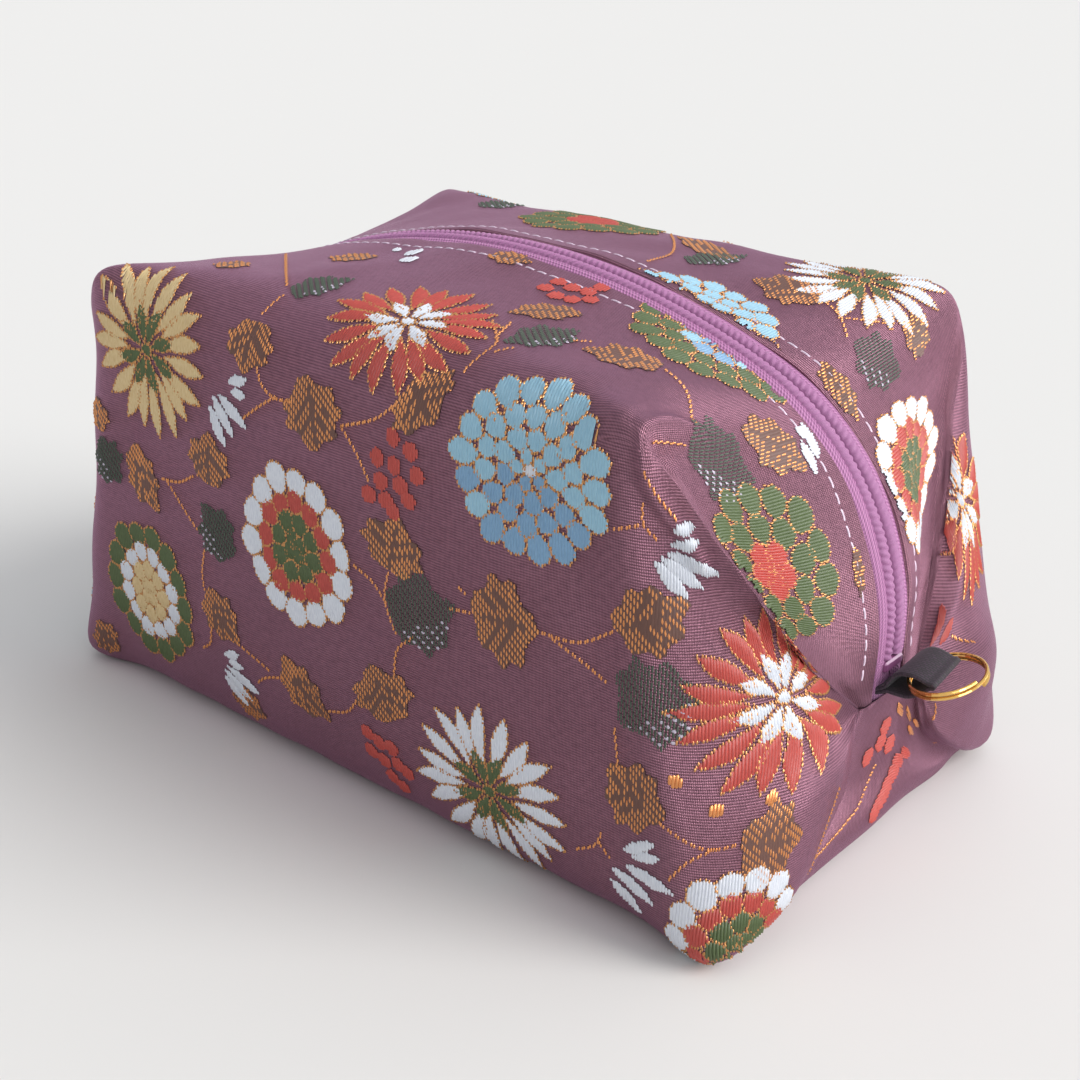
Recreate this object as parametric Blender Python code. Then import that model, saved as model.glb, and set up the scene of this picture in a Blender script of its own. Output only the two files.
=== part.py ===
"""A zipped brocade pouch: a boxed cloth bag whose end seams are folded like an envelope.

The cloth is one tube, cut open along the zip on its crest. At each end the top panel comes down and
the bottom panel comes up to a short level seam, and the front and back wrap round the end as two
pointed ears that lie over them. X runs along the zip, the front looks to -Y, and Z is up.
"""

import math

import bmesh
import bpy
import numpy as np

# The sewn bag, outside, in metres
BASE_LENGTH = 0.150
BASE_DEPTH = 0.084
TOP_LENGTH = 0.116
TOP_DEPTH = 0.087
CORNER_HEIGHT = 0.0795
CREST_HEIGHT = 0.0856
SEAM_HEIGHT = 0.029
EAR_GAP = 0.017
EAR_THICKNESS = 0.0016
SEAM_TUCK = 0.0006

# The arch that the zip follows: a long arc over the top, a tighter one over each shoulder
CREST_RADIUS = 0.130
SHOULDER_RADIUS = 0.040
SHOULDER_TURN = math.radians(67.0)

# Fullness of the soft panels
FRONT_FULLNESS = 0.0025
FACE_FULLNESS = 0.0010
TOP_FULLNESS = 0.0006
TOP_HOLLOW = 0.0012
EAR_FULLNESS = 0.0070
FRONT_CREASE_FULLNESS = 0.0064
BACK_CREASE_FULLNESS = 0.0009
CREASE_SAG = 0.0026
LOWER_CREASE_SAG = 0.0062
LOWER_CREASE_SWAY = 0.0120
RIDGE_ROLL = 0.0065
RIDGE_RISE = 0.0015
RIDGE_DROP = 0.0045
BASE_ROLL = 0.0050
BASE_ROLL_HEIGHT = 0.0035
CORNER_TUCK = 0.0015
LEAN_POWER = 0.9
EAR_FACING = (0.85, 0.50, 0.10)

# Cloths
SHELL_WALL = 0.0012
LINING_WALL = 0.0006
CLOTH_GAP = 0.0003
LAYER_GAP = 0.0005
TAPE_THICKNESS = 0.0008
TAPE_HALF_WIDTH = 0.0125
FRONT_LAP = 0.0056
BACK_LAP = 0.0042
LINING_LAP = 0.0068

# Zip
CHAIN_WIDTH = 0.0052
CHAIN_SPLIT = 0.0010
CHAIN_RISE = 0.0002
CHAIN_UNDERSIDE = 0.0023
CHAIN_END_ABOVE_SEAM = 0.0058
CHAIN_PIECES = 62
TAPE_END_ABOVE_SEAM = 0.0030
STOP_LENGTH = 0.0017
STOP_GAP = 0.0003

# Slider and pull
SLIDER_LENGTH = 0.0080
SLIDER_CLEARANCE = 0.0003
SLIDER_PLATE = 0.0009
SLIDER_FLANGE = 0.0008
SLIDER_SIDE_ROOM = 0.0005
SLIDER_POST = 0.0004
SLIDER_POST_LENGTH = 0.0030
SLIDER_UNDER_CLEARANCE = 0.0010
SLIDER_REST_TURN = math.radians(6.0)
BRIDGE_BAR = 0.0008
BRIDGE_WIDTH = 0.0014
BRIDGE_SPAN = 0.0040
PULL_PIN = 0.0009
PULL_PLAY = 0.0003
PULL_LENGTH = 0.0180
PULL_WIDTH = 0.0050
PULL_WINDOW = 0.0042
PULL_ARM = 0.0010
PULL_NECK_SHARE = 0.80
PULL_WAIST_SHARE = 0.82
PULL_END_SHARE = 0.60
PULL_END_STEPS = 8

# Tab and split ring at the right end; the tab's course is set out from the middle of the end seam
TAB_WIDTH = 0.0076
TAB_CLOTH = 0.0006
TAB_TUCK = 0.0012
TAB_PIVOT_REACH = 0.0048
TAB_PIVOT_RISE = 0.0045
TAB_END_REACH = 0.0090
TAB_END_RISE = 0.0058
TAB_TILT = math.radians(12.0)
TAB_SAMPLES = (2, 6, 8)
TAB_PIVOT_INDEX = TAB_SAMPLES[0] + TAB_SAMPLES[1]
TAB_LAYERS_JOINED = 4
RING_DIAMETER = 0.0120
RING_WIRE = 0.0006
RING_TURNS = 1.96
RING_STEPS = 72
RING_TURN_GAP = 0.00012
RING_CHANNEL_CLEARANCE = 0.0002
RING_TILT = math.radians(14.0)

# Colours as linear red, green and blue, with roughness and metallic
CLOTHS = {
    "brocade": ((0.117, 0.054, 0.098), 0.45, 0.0),
    "lining_cloth": ((0.180, 0.110, 0.165), 0.85, 0.0),
    "zip_tape": ((0.365, 0.130, 0.285), 0.80, 0.0),
    "zip_chain": ((0.420, 0.150, 0.330), 0.60, 0.0),
    "tab_cloth": ((0.046, 0.028, 0.040), 0.75, 0.0),
    "gilt_metal": ((0.780, 0.530, 0.200), 0.28, 1.0),
    "zip_metal": ((0.520, 0.300, 0.470), 0.40, 1.0),
}

# Key rows of the skin from the middle to the end seam. The first three are the bag's body, the fourth
# is its corner, and the rest close the end. Each table below has one value for each row it serves
KEY_SHARES = (0.0, 0.22, 0.42, 0.56, 0.70, 0.85, 1.0)
CORNER_ROW = 3
BODY_SHARES = (0.0, 0.42, 0.80)
BASE_SHARES = (0.0, 0.40, 0.78)
RIDGE_ROLL_SHARES = (1.0, 0.92, 0.62)
CREASE_SHARES = (0.0, 0.0, 0.0, 0.0, 0.33, 0.67, 1.0)
EAR_SHARES = (0.0, 0.0, 0.0, 0.06, 0.40, 0.72, 1.0)
TOP_SWELLS = (1.0, 1.0, 0.7, -0.5, -1.0, -0.6, 0.0)

# Key columns: top panel, ridge, ear side of the crease, face, lower crease, base side, base panel
TOP_SHARES = (0.0, 0.30, 0.65)
PANEL_SHARES = (0.80, 0.60, 0.40, 0.20)
RIDGE_COLUMN = 3
BASE_SIDE_COLUMN = 10

# Samples between neighbouring keys, with the base's the mirror image of the top's
ROW_SAMPLES = 2
COLUMN_SAMPLES = (1, 2, 2, 2, 1, 2, 2, 2, 1, 1, 2, 2, 1, 1)


def clear_scene():
    for thing in list(bpy.data.objects):
        bpy.data.objects.remove(thing, do_unlink=True)


def material(name):
    colour, roughness, metallic = CLOTHS[name]
    made = bpy.data.materials.get(name) or bpy.data.materials.new(name)
    made.use_nodes = True
    shader = made.node_tree.nodes["Principled BSDF"]
    shader.inputs["Base Color"].default_value = (*colour, 1.0)
    shader.inputs["Roughness"].default_value = roughness
    shader.inputs["Metallic"].default_value = metallic
    made.diffuse_color = (*colour, 1.0)
    return made


def finish(shape, name, material_name, origin=(0.0, 0.0, 0.0)):
    """Turns a bmesh into an object whose origin is at the given point, with its faces outward."""
    bmesh.ops.recalc_face_normals(shape, faces=shape.faces)
    bmesh.ops.translate(shape, verts=shape.verts, vec=[-value for value in origin])
    mesh = bpy.data.meshes.new(name)
    shape.to_mesh(mesh)
    shape.free()
    mesh.materials.append(material(material_name))
    mesh.shade_smooth()
    mesh.set_sharp_from_angle(angle=math.radians(40.0))
    made = bpy.data.objects.new(name, mesh)
    made.location = origin
    bpy.context.scene.collection.objects.link(made)
    return made


def arch_point(length, inset=0.0):
    """A point (x, z) on the zip's arch, and how far it has turned down, at a length from the crest."""
    crest, shoulder = CREST_RADIUS - inset, SHOULDER_RADIUS - inset
    crest_turn = math.pi / 2 - SHOULDER_TURN
    crest_length, shoulder_length = crest * crest_turn, shoulder * SHOULDER_TURN
    first = min(length, crest_length) / crest
    second = min(max(length - crest_length, 0.0), shoulder_length) / shoulder
    drop = max(length - crest_length - shoulder_length, 0.0)
    turn = crest_turn + second
    x = crest * math.sin(first) + shoulder * (math.sin(turn) - math.sin(crest_turn))
    z = CREST_HEIGHT - inset - crest * (1 - math.cos(first))
    z -= shoulder * (math.cos(crest_turn) - math.cos(turn)) + drop
    return x, z, first + second


def shoulder_centre():
    """Centre (x, z) of the right shoulder's arc."""
    crest_turn = math.pi / 2 - SHOULDER_TURN
    reach = CREST_RADIUS - SHOULDER_RADIUS
    return reach * math.sin(crest_turn), CREST_HEIGHT - CREST_RADIUS + reach * math.cos(crest_turn)


def half_arch(inset=0.0):
    """Length of the arch from its crest to the end seam."""
    bend = (CREST_RADIUS - inset) * (math.pi / 2 - SHOULDER_TURN) + (SHOULDER_RADIUS - inset) * SHOULDER_TURN
    return bend + shoulder_centre()[1] - SEAM_HEIGHT


def zip_flat():
    """Half width of the level band beside the zip, which the slider's flanges need."""
    return CHAIN_WIDTH / 2 + SLIDER_CLEARANCE + SLIDER_FLANGE + SLIDER_SIDE_ROOM


def at(x, y, z):
    return np.array([x, y, z], float)


def unit(vector):
    vector = np.asarray(vector, float)
    return vector / np.linalg.norm(vector)


def sample(points, counts):
    """A smooth curve through the points (centripetal Catmull-Rom), with counts[i] steps on stretch i."""
    points = np.asarray(points, float)
    spaced = np.vstack([2 * points[0] - points[1], points, 2 * points[-1] - points[-2]])
    tiny = 1e-9
    out = []
    for index, count in enumerate(counts):
        a, b, c, d = spaced[index:index + 4]
        ta = 0.0
        tb = ta + math.sqrt(max(np.linalg.norm(b - a), tiny))
        tc = tb + math.sqrt(max(np.linalg.norm(c - b), tiny))
        td = tc + math.sqrt(max(np.linalg.norm(d - c), tiny))
        t = np.linspace(tb, tc, count + 1)[:-1, None]
        ab = ((tb - t) * a + (t - ta) * b) / (tb - ta)
        bc = ((tc - t) * b + (t - tb) * c) / (tc - tb)
        cd = ((td - t) * c + (t - tc) * d) / (td - tc)
        abc = ((tc - t) * ab + (t - ta) * bc) / (tc - ta)
        bcd = ((td - t) * bc + (t - tb) * cd) / (td - tb)
        out.append(((tc - t) * abc + (t - tb) * bcd) / (tc - tb))
    out.append(points[-1:])
    return np.vstack(out)


def key_points(side, lap, inset, ear):
    """Key points [row][column] of a quarter of the bag at x >= 0. side is -1 at the front, 1 at the back.

    Columns run from the zip's edge over the top, down the front or back and under the base.
    """
    full = half_arch(inset)
    half_top, top_depth = TOP_LENGTH / 2 - inset, TOP_DEPTH / 2 - inset
    half_base, base_depth = BASE_LENGTH / 2 - inset, BASE_DEPTH / 2 - inset
    corner_height, floor = CORNER_HEIGHT - inset, inset
    tall = CORNER_HEIGHT - 2 * inset
    tip = at(arch_point(full, inset)[0] - SEAM_TUCK, side * EAR_GAP / 2, SEAM_HEIGHT)
    top_corner = at(half_top - SEAM_TUCK, side * (top_depth - RIDGE_RISE), corner_height - RIDGE_RISE / 2)
    low_corner = at(half_base, side * base_depth, floor)
    level_out = unit((1.0, side, 0.0))
    ear_out = unit((EAR_FACING[0], side * EAR_FACING[1], EAR_FACING[2]))
    crease_fullness = FRONT_CREASE_FULLNESS if side < 0 else BACK_CREASE_FULLNESS
    rows = []
    for row, share in enumerate(KEY_SHARES):
        x, z, turn = arch_point(share * full, inset)
        out_of_arch = at(math.sin(turn), 0.0, math.cos(turn))
        on_end = row >= CORNER_ROW
        q = CREASE_SHARES[row]
        if on_end:
            ridge = top_corner * (1 - q) + tip * q
            ridge = ridge + level_out * crease_fullness * 4 * q * (1 - q)
            ridge[2] -= CREASE_SAG * (q if q < 1 else 0.0)
        else:
            ridge_y = side * (top_depth - RIDGE_ROLL * RIDGE_ROLL_SHARES[row])
            ridge_z = corner_height + RIDGE_RISE * (1 - BODY_SHARES[row] / 2)
            ridge = at(BODY_SHARES[row] * half_top, ridge_y, ridge_z)
        columns = []
        beside_zip = at(x, side * zip_flat(), z)
        first = (lap - zip_flat()) / (abs(ridge[1]) - zip_flat())
        swell = TOP_SWELLS[row] * (TOP_FULLNESS if TOP_SWELLS[row] > 0 else TOP_HOLLOW)
        for step in TOP_SHARES:
            f = first + (1 - first) * step
            bow = math.sin(math.pi * max(f - TOP_SHARES[1], 0.0) / (1 - TOP_SHARES[1]))
            columns.append(beside_zip * (1 - f) + ridge * f + out_of_arch * swell * bow)
        columns.append(ridge)

        # Ear side of the upper crease, or the front's roll below the ridge
        if not on_end:
            columns.append(at(ridge[0], side * (top_depth - 0.4 * RIDGE_RISE), corner_height - RIDGE_DROP))
        elif row == CORNER_ROW:
            columns.append(ridge + at(0.6 * EAR_THICKNESS, side * 0.5 * EAR_THICKNESS, -0.65 * RIDGE_DROP))
        elif q < 1:
            columns.append(ridge + ear_out * ear - at(0.0, 0.0, 0.4 * EAR_THICKNESS))
        else:
            columns.append(ridge)

        # Front or back panel, which narrows to the ear's tip on the end
        w = EAR_SHARES[row]
        for h in PANEL_SHARES:
            height = floor + h * tall
            corner_x = half_base - (half_base - half_top) * h ** LEAN_POWER - CORNER_TUCK
            corner = at(corner_x, side * (base_depth + FACE_FULLNESS * (1 + h) / 2), height)
            if not on_end:
                bow = FRONT_FULLNESS * (1 - BODY_SHARES[row] ** 2) * math.sin(math.pi * (0.15 + 0.7 * h))
                y = side * (base_depth + FACE_FULLNESS + bow)
                columns.append(at(BODY_SHARES[row] * corner_x, y, height))
            elif row == CORNER_ROW:
                columns.append(corner)
            elif w < 1:
                bulge = EAR_FULLNESS * 4 * w * (1 - w) * (1.0 - 0.4 * h)
                columns.append(corner * (1 - w) + tip * w + ear_out * (ear * w + bulge))
            else:
                columns.append(tip)

        # Ear side of the lower crease, then the base side of it
        if not on_end:
            along = BASE_SHARES[row] * half_base
            columns.append(at(along, side * (base_depth - 0.1 * BASE_ROLL_HEIGHT), floor + BASE_ROLL_HEIGHT))
            columns.append(at(along, side * (base_depth - BASE_ROLL), floor))
        elif row == CORNER_ROW:
            columns.append(low_corner + at(-0.45 * BASE_ROLL_HEIGHT, 0.0, 0.7 * BASE_ROLL_HEIGHT))
            columns.append(low_corner + at(-BASE_ROLL, -side * BASE_ROLL, 0.0))
        elif w < 1:
            low = low_corner * (1 - w) + tip * w
            low[2] -= LOWER_CREASE_SAG * 4 * w * (1 - w)
            low[1] -= side * (w - 0.5) * LOWER_CREASE_SWAY
            columns.append(low + at(ear, 0.0, 0.0))
            columns.append(low - at(0.3 * EAR_THICKNESS, side * 0.5 * EAR_THICKNESS, 0.5 * EAR_THICKNESS))
        else:
            columns.append(tip)
            columns.append(tip)

        # Base panel to the middle of the base, in the order that meets the top panel at the seam
        outer_y = columns[-1][1]
        inner = side * lap
        for f in TOP_SHARES[::-1]:
            y = inner * (1 - f) + outer_y * f
            if not on_end:
                columns.append(at(BASE_SHARES[row] * half_base, y, floor))
            elif row == CORNER_ROW:
                columns.append(at(half_base - 0.9 * BASE_ROLL, y, floor))
            else:
                columns.append(at(columns[-1][0], y, columns[-1][2]))
        middle = columns[-1].copy()
        middle[1] = 0.0
        columns.append(middle)
        rows.append(columns)
    return np.array(rows)


def quarter_grid(side, lap, inset, ear):
    """The smooth skin of a quarter, as points [row][column] from the middle to the right end seam."""
    keys = key_points(side, lap, inset, ear)
    lines = []
    for column in range(keys.shape[1]):
        path = keys[:, column]
        mirrored = np.vstack([path[1] * (-1, 1, 1), path])
        line = sample(mirrored, (ROW_SAMPLES,) * (len(mirrored) - 1))
        lines.append(line[ROW_SAMPLES:])
    rows = np.array(lines).transpose(1, 0, 2)
    grid = np.array([sample(row, COLUMN_SAMPLES) for row in rows])
    grid[:, :, 2] = np.maximum(grid[:, :, 2], inset)

    # The end seam: top and base panels meet point for point on a straight line, and the ear in its tip
    to_ridge, to_base = sum(COLUMN_SAMPLES[:RIDGE_COLUMN]), sum(COLUMN_SAMPLES[:BASE_SIDE_COLUMN])
    tip, edge = keys[-1, RIDGE_COLUMN], keys[-1, 0]
    for column in range(grid.shape[1]):
        share = min(column / to_ridge, 1.0)
        grid[-1, column] = edge + (tip - edge) * share
    for step in range(to_ridge + 1):
        share = 1.0 - step / to_ridge
        grid[-1, to_base + step] = edge + (tip - edge) * share
    grid[-1, -1] = (edge[0], 0.0, edge[2])
    return grid


def whole_grid(front_lap, back_lap, inset, ear):
    """The whole bag's skin: rows from end to end, columns from the zip's front edge round to its back."""
    front = quarter_grid(-1, front_lap, inset, ear)
    back = quarter_grid(1, back_lap, inset, ear)
    middle = (front[:, -1:] + back[:, -1:]) / 2
    half = np.concatenate([front[:, :-1], middle, back[:, -2::-1]], axis=1)
    other = half[:0:-1] * (-1, 1, 1)
    return np.concatenate([other, half], axis=0)


def sewn_bag(name, material_name, outer, inner):
    """A closed cloth wall between two skins, open along the zip."""
    shape = bmesh.new()
    rows, columns, _ = outer.shape
    skins = []
    for grid in (outer, inner):
        skins.append([[shape.verts.new(point) for point in row] for row in grid])
    for skin in skins:
        for r in range(rows - 1):
            for c in range(columns - 1):
                corners = (skin[r][c], skin[r][c + 1], skin[r + 1][c + 1], skin[r + 1][c])
                shape.faces.new(corners if skin is skins[0] else corners[::-1])
    out, inside = skins
    for r in range(rows - 1):
        shape.faces.new((out[r][0], out[r + 1][0], inside[r + 1][0], inside[r][0]))
        shape.faces.new((out[r + 1][-1], out[r][-1], inside[r][-1], inside[r + 1][-1]))
    seam_edge = open_seam_columns(columns)
    for row in (0, rows - 1):
        for c in seam_edge:
            shape.faces.new((out[row][c], out[row][c + 1], inside[row][c + 1], inside[row][c]))
    bmesh.ops.remove_doubles(shape, verts=shape.verts, dist=1e-6)
    bmesh.ops.dissolve_degenerate(shape, edges=shape.edges, dist=1e-7)
    return finish(shape, name, material_name)


def open_seam_columns(columns):
    """The base panel's columns at the end seam that lie under the zip and meet no top panel."""
    middle = (columns - 1) // 2
    return range(middle - 1, middle + 1)


def strip(name, material_name, outer, inner):
    """A closed strip of cloth between two equal grids of points."""
    shape = bmesh.new()
    rows, columns, _ = outer.shape
    top = [[shape.verts.new(point) for point in row] for row in outer]
    low = [[shape.verts.new(point) for point in row] for row in inner]
    for r in range(rows - 1):
        for c in range(columns - 1):
            shape.faces.new((top[r][c], top[r][c + 1], top[r + 1][c + 1], top[r + 1][c]))
            shape.faces.new((low[r][c], low[r + 1][c], low[r + 1][c + 1], low[r][c + 1]))
        for c in (0, columns - 1):
            shape.faces.new((top[r][c], top[r + 1][c], low[r + 1][c], low[r][c]))
    for c in range(columns - 1):
        for r in (0, rows - 1):
            shape.faces.new((top[r][c], top[r][c + 1], low[r][c + 1], low[r][c]))
    return finish(shape, name, material_name)


def tape_grid(side, inset):
    """A zip tape's skin: from beside the chain, under the cloth's folded edge and on below the top panel."""
    skin = quarter_grid(side, zip_flat(), inset, 0.0)
    level_edge, beyond = skin[:, 0], skin[:, 1]
    chain_edge = level_edge.copy()
    chain_edge[:, 1] = side * (CHAIN_WIDTH / 2 + CLOTH_GAP)
    share = (TAPE_HALF_WIDTH - zip_flat()) / (np.abs(beyond[0, 1]) - zip_flat())
    half = np.stack([chain_edge, level_edge, level_edge + (beyond - level_edge) * share], axis=1)
    above_seam = (half[-2, 0, 2] - SEAM_HEIGHT - TAPE_END_ABOVE_SEAM) / (half[-2, 0, 2] - half[-1, 0, 2])
    half[-1] = half[-2] + (half[-1] - half[-2]) * min(max(above_seam, 0.1), 0.9)
    return np.concatenate([half[:0:-1] * (-1, 1, 1), half], axis=0)


def chain_half(name, side):
    """One half of the closed zip chain: a rounded cord of knitted-in coil along the arch."""
    inner, outer = CHAIN_SPLIT / 2, CHAIN_WIDTH / 2
    deep, high = CHAIN_UNDERSIDE, -CHAIN_RISE
    round_off = 0.25 * (deep - high)
    section = ((inner, high + round_off * 0.4), (inner + round_off, high), (outer - round_off, high),
               (outer, high + round_off), (outer, deep - round_off), (outer - round_off, deep),
               (inner, deep))
    end = half_arch() - CHAIN_END_ABOVE_SEAM
    rings = []
    for index in range(CHAIN_PIECES + 1):
        length = end * (2 * index / CHAIN_PIECES - 1)
        x, z, turn = arch_point(abs(length))
        sense = 1.0 if length >= 0 else -1.0
        rings.append([(sense * (x - depth * math.sin(turn)), side * y, z - depth * math.cos(turn))
                      for y, depth in section])
    return lofted(name, "zip_chain", rings)


def lofted(name, material_name, rings):
    """A closed solid through equal rings of points, capped at both ends."""
    shape = bmesh.new()
    made = [[shape.verts.new(point) for point in ring] for ring in rings]
    count = len(made[0])
    for first, second in zip(made[:-1], made[1:]):
        for index in range(count):
            after = (index + 1) % count
            shape.faces.new((first[index], first[after], second[after], second[index]))
    shape.faces.new(made[0][::-1])
    shape.faces.new(made[-1])
    return finish(shape, name, material_name)


def end_stop(name, sense, near, far):
    """A crimped metal stop beyond the chain's end, spanning near to far across the zip."""
    start = half_arch() - CHAIN_END_ABOVE_SEAM + STOP_GAP
    shape = bmesh.new()
    rings = []
    over, under = -CHAIN_RISE, CHAIN_UNDERSIDE
    for length in (start, start + STOP_LENGTH):
        x, z, turn = arch_point(length)
        ring = []
        for y, depth in ((near, over), (far, over), (far, under), (near, under)):
            corner = (sense * (x - depth * math.sin(turn)), y, z - depth * math.cos(turn))
            ring.append(shape.verts.new(corner))
        rings.append(ring)
    for index in range(4):
        after = (index + 1) % 4
        shape.faces.new((rings[0][index], rings[0][after], rings[1][after], rings[1][index]))
    shape.faces.new(rings[0][::-1])
    shape.faces.new(rings[1])
    bmesh.ops.bevel(shape, geom=list(shape.edges), offset=0.0003, segments=1, affect="EDGES")
    return finish(shape, name, "zip_metal")


def block(shape, centre, size, bevel=0.0):
    """Adds a box, with its long edges eased where a bevel is given, and returns its vertices."""
    made = bmesh.ops.create_cube(shape, size=1.0)["verts"]
    bmesh.ops.scale(shape, verts=made, vec=size)
    bmesh.ops.translate(shape, verts=made, vec=centre)
    if bevel:
        edges = {edge for vert in made for edge in vert.link_edges}
        result = bmesh.ops.bevel(shape, geom=list(edges), offset=bevel, segments=2, affect="EDGES")
        made = list({vert for face in result["faces"] for vert in face.verts})
    return made


def solid(name, build):
    """A hidden mesh object for a Boolean, from a function that fills a bmesh."""
    shape = bmesh.new()
    build(shape)
    bmesh.ops.recalc_face_normals(shape, faces=shape.faces)
    mesh = bpy.data.meshes.new(name)
    shape.to_mesh(mesh)
    shape.free()
    made = bpy.data.objects.new(name, mesh)
    made.hide_render = True
    made.display_type = "WIRE"
    bpy.context.scene.collection.objects.link(made)
    return made


def join(target, tool, operation):
    modifier = target.modifiers.new(operation.lower() + "_" + tool.name, "BOOLEAN")
    modifier.operation = operation
    modifier.solver = "EXACT"
    modifier.object = tool
    tool.parent = target
    return modifier


def slider_frame():
    """Where the slider stands: on the left shoulder's arc, turned SLIDER_REST_TURN up from level."""
    centre_x, centre_z = shoulder_centre()
    x = -centre_x - SHOULDER_RADIUS * math.cos(SLIDER_REST_TURN)
    z = centre_z + SHOULDER_RADIUS * math.sin(SLIDER_REST_TURN)
    return (x, 0.0, z), SLIDER_REST_TURN - math.pi / 2


def slider_body():
    """Top and bottom wings with side flanges, joined by the divider, and an arched bridge for the pull.

    It is modelled with the zip along X and outward along +Z, then turned to its place on the arch.
    """
    half_channel = CHAIN_WIDTH / 2 + SLIDER_CLEARANCE
    width = 2 * (half_channel + SLIDER_FLANGE)
    roof = CHAIN_RISE + SLIDER_CLEARANCE
    floor = -(CHAIN_UNDERSIDE + SLIDER_UNDER_CLEARANCE)
    tape_top = -(SHELL_WALL + LAYER_GAP)
    flange_foot = tape_top + SLIDER_CLEARANCE
    plate = (SLIDER_LENGTH, width, SLIDER_PLATE)
    place, turn = slider_frame()

    def upper_wing(shape):
        block(shape, (0, 0, roof + SLIDER_PLATE / 2), plate, SLIDER_PLATE * 0.3)

    def flange(side):
        def build(shape):
            height = roof + SLIDER_PLATE / 2 - flange_foot
            y = side * (half_channel + SLIDER_FLANGE / 2)
            block(shape, (0, y, flange_foot + height / 2), (SLIDER_LENGTH * 0.9, SLIDER_FLANGE, height))
        return build

    def lower_wing(shape):
        block(shape, (0, 0, floor - SLIDER_PLATE / 2), plate, SLIDER_PLATE * 0.3)

    def divider(shape):
        height = roof - floor + SLIDER_PLATE
        block(shape, (0, 0, (roof + floor) / 2), (SLIDER_POST_LENGTH, SLIDER_POST, height))

    def bridge(shape):
        clear = PULL_PIN + 2 * PULL_PLAY
        top = roof + SLIDER_PLATE + clear + BRIDGE_BAR
        half_span = BRIDGE_SPAN / 2
        foot = roof + SLIDER_PLATE / 2
        under, ease = top - BRIDGE_BAR, 0.4 * BRIDGE_BAR
        outer = ((half_span, top), (half_span + BRIDGE_BAR, under), (half_span + BRIDGE_BAR, foot))
        inner = ((half_span, foot), (half_span, under - ease), (half_span - ease, under))
        right = outer + inner
        profile = right + tuple((-x, z) for x, z in right[::-1])
        face = shape.faces.new([shape.verts.new((x, -BRIDGE_WIDTH / 2, z)) for x, z in profile])
        moved = bmesh.ops.extrude_face_region(shape, geom=[face])["geom"]
        verts = [part for part in moved if isinstance(part, bmesh.types.BMVert)]
        bmesh.ops.translate(shape, verts=verts, vec=(0, BRIDGE_WIDTH, 0))

    base = solid("slider_body", upper_wing)
    base.hide_render = False
    base.display_type = "TEXTURED"
    base.data.materials.append(material("zip_metal"))
    for name, build in (("slider_flange_front", flange(-1)), ("slider_flange_back", flange(1)),
                        ("slider_divider", divider), ("slider_bridge", bridge)):
        join(base, solid(name, build), "UNION")
    join(base, solid("slider_lower_wing", lower_wing), "UNION")
    base.location = place
    base.rotation_euler = (0.0, turn, 0.0)
    return base


def pull_axis():
    """The pull's hinge line: its cross bar under the slider's bridge."""
    place, turn = slider_frame()
    height = CHAIN_RISE + SLIDER_CLEARANCE + SLIDER_PLATE + PULL_PLAY + PULL_PIN / 2
    return (place[0] + height * math.sin(turn), 0.0, place[2] + height * math.cos(turn)), turn


def pull_tab():
    """A flat stamped pull with a window at its head, whose end bar turns under the bridge."""
    place, _ = pull_axis()
    half = PULL_WIDTH / 2
    neck, waist, bulge = half * PULL_NECK_SHARE, half * PULL_WAIST_SHARE, half * PULL_END_SHARE
    tail = PULL_LENGTH - bulge
    shoulder = -PULL_WINDOW - PULL_ARM
    head = ((PULL_PIN / 2, neck), (shoulder, neck), (shoulder - 2 * PULL_ARM, waist), (-tail, half))
    outline = [(x, -y) for x, y in head]
    for step in range(1, PULL_END_STEPS):
        turn = math.pi * step / PULL_END_STEPS
        outline.append((-tail - bulge * math.sin(turn), -half * math.cos(turn)))
    outline += head[::-1]
    shape = bmesh.new()
    face = shape.faces.new([shape.verts.new((x, y, -PULL_PIN / 2)) for x, y in outline])
    moved = bmesh.ops.extrude_face_region(shape, geom=[face])["geom"]
    verts = [part for part in moved if isinstance(part, bmesh.types.BMVert)]
    bmesh.ops.translate(shape, verts=verts, vec=(0, 0, PULL_PIN))
    bmesh.ops.recalc_face_normals(shape, faces=shape.faces)
    made = finish(shape, "pull_tab", "zip_metal")
    window_width = BRIDGE_WIDTH + 4 * PULL_PLAY

    def window(cutter):
        middle = -(PULL_PIN / 2 + PULL_WINDOW / 2)
        block(cutter, (middle, 0, 0), (PULL_WINDOW, window_width, PULL_PIN * 3))

    join(made, solid("pull_window", window), "DIFFERENCE")
    made.location = place
    made.rotation_euler = (0.0, slider_frame()[1], 0.0)
    return made


def ring_arc_depth():
    """How far the ring's arc bows out of the tab's channel, measured on the wire's centre line."""
    radius = (RING_DIAMETER - RING_WIRE) / 2
    return radius - math.sqrt(radius ** 2 - (TAB_WIDTH / 2) ** 2)


def channel_radius():
    """Inner radius of the tab's fold: it clears both turns of the ring however the ring swings."""
    half_height = RING_WIRE + RING_TURN_GAP / 2
    half_width = ring_arc_depth() / 2 + RING_WIRE / 2
    return math.hypot(half_height, half_width) + RING_CHANNEL_CLEARANCE


def tab_course():
    """The tab's middle line (x, z): from above the base panel's seam edge to the end of its fold."""
    x = arch_point(half_arch())[0] - SEAM_TUCK
    rest = SEAM_HEIGHT + CLOTH_GAP + TAB_CLOTH
    points = ((x - TAB_TUCK, rest), (x + TAB_TUCK / 6, rest + TAB_CLOTH * 0.6),
              (x + TAB_PIVOT_REACH, SEAM_HEIGHT + TAB_PIVOT_RISE),
              (x + TAB_END_REACH, SEAM_HEIGHT + TAB_END_RISE))
    return sample(points, TAB_SAMPLES)


def tab_channel():
    """Centre (x, z) of the widest place in the tab's fold, where the ring hangs."""
    return tuple(tab_course()[TAB_PIVOT_INDEX])


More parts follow.
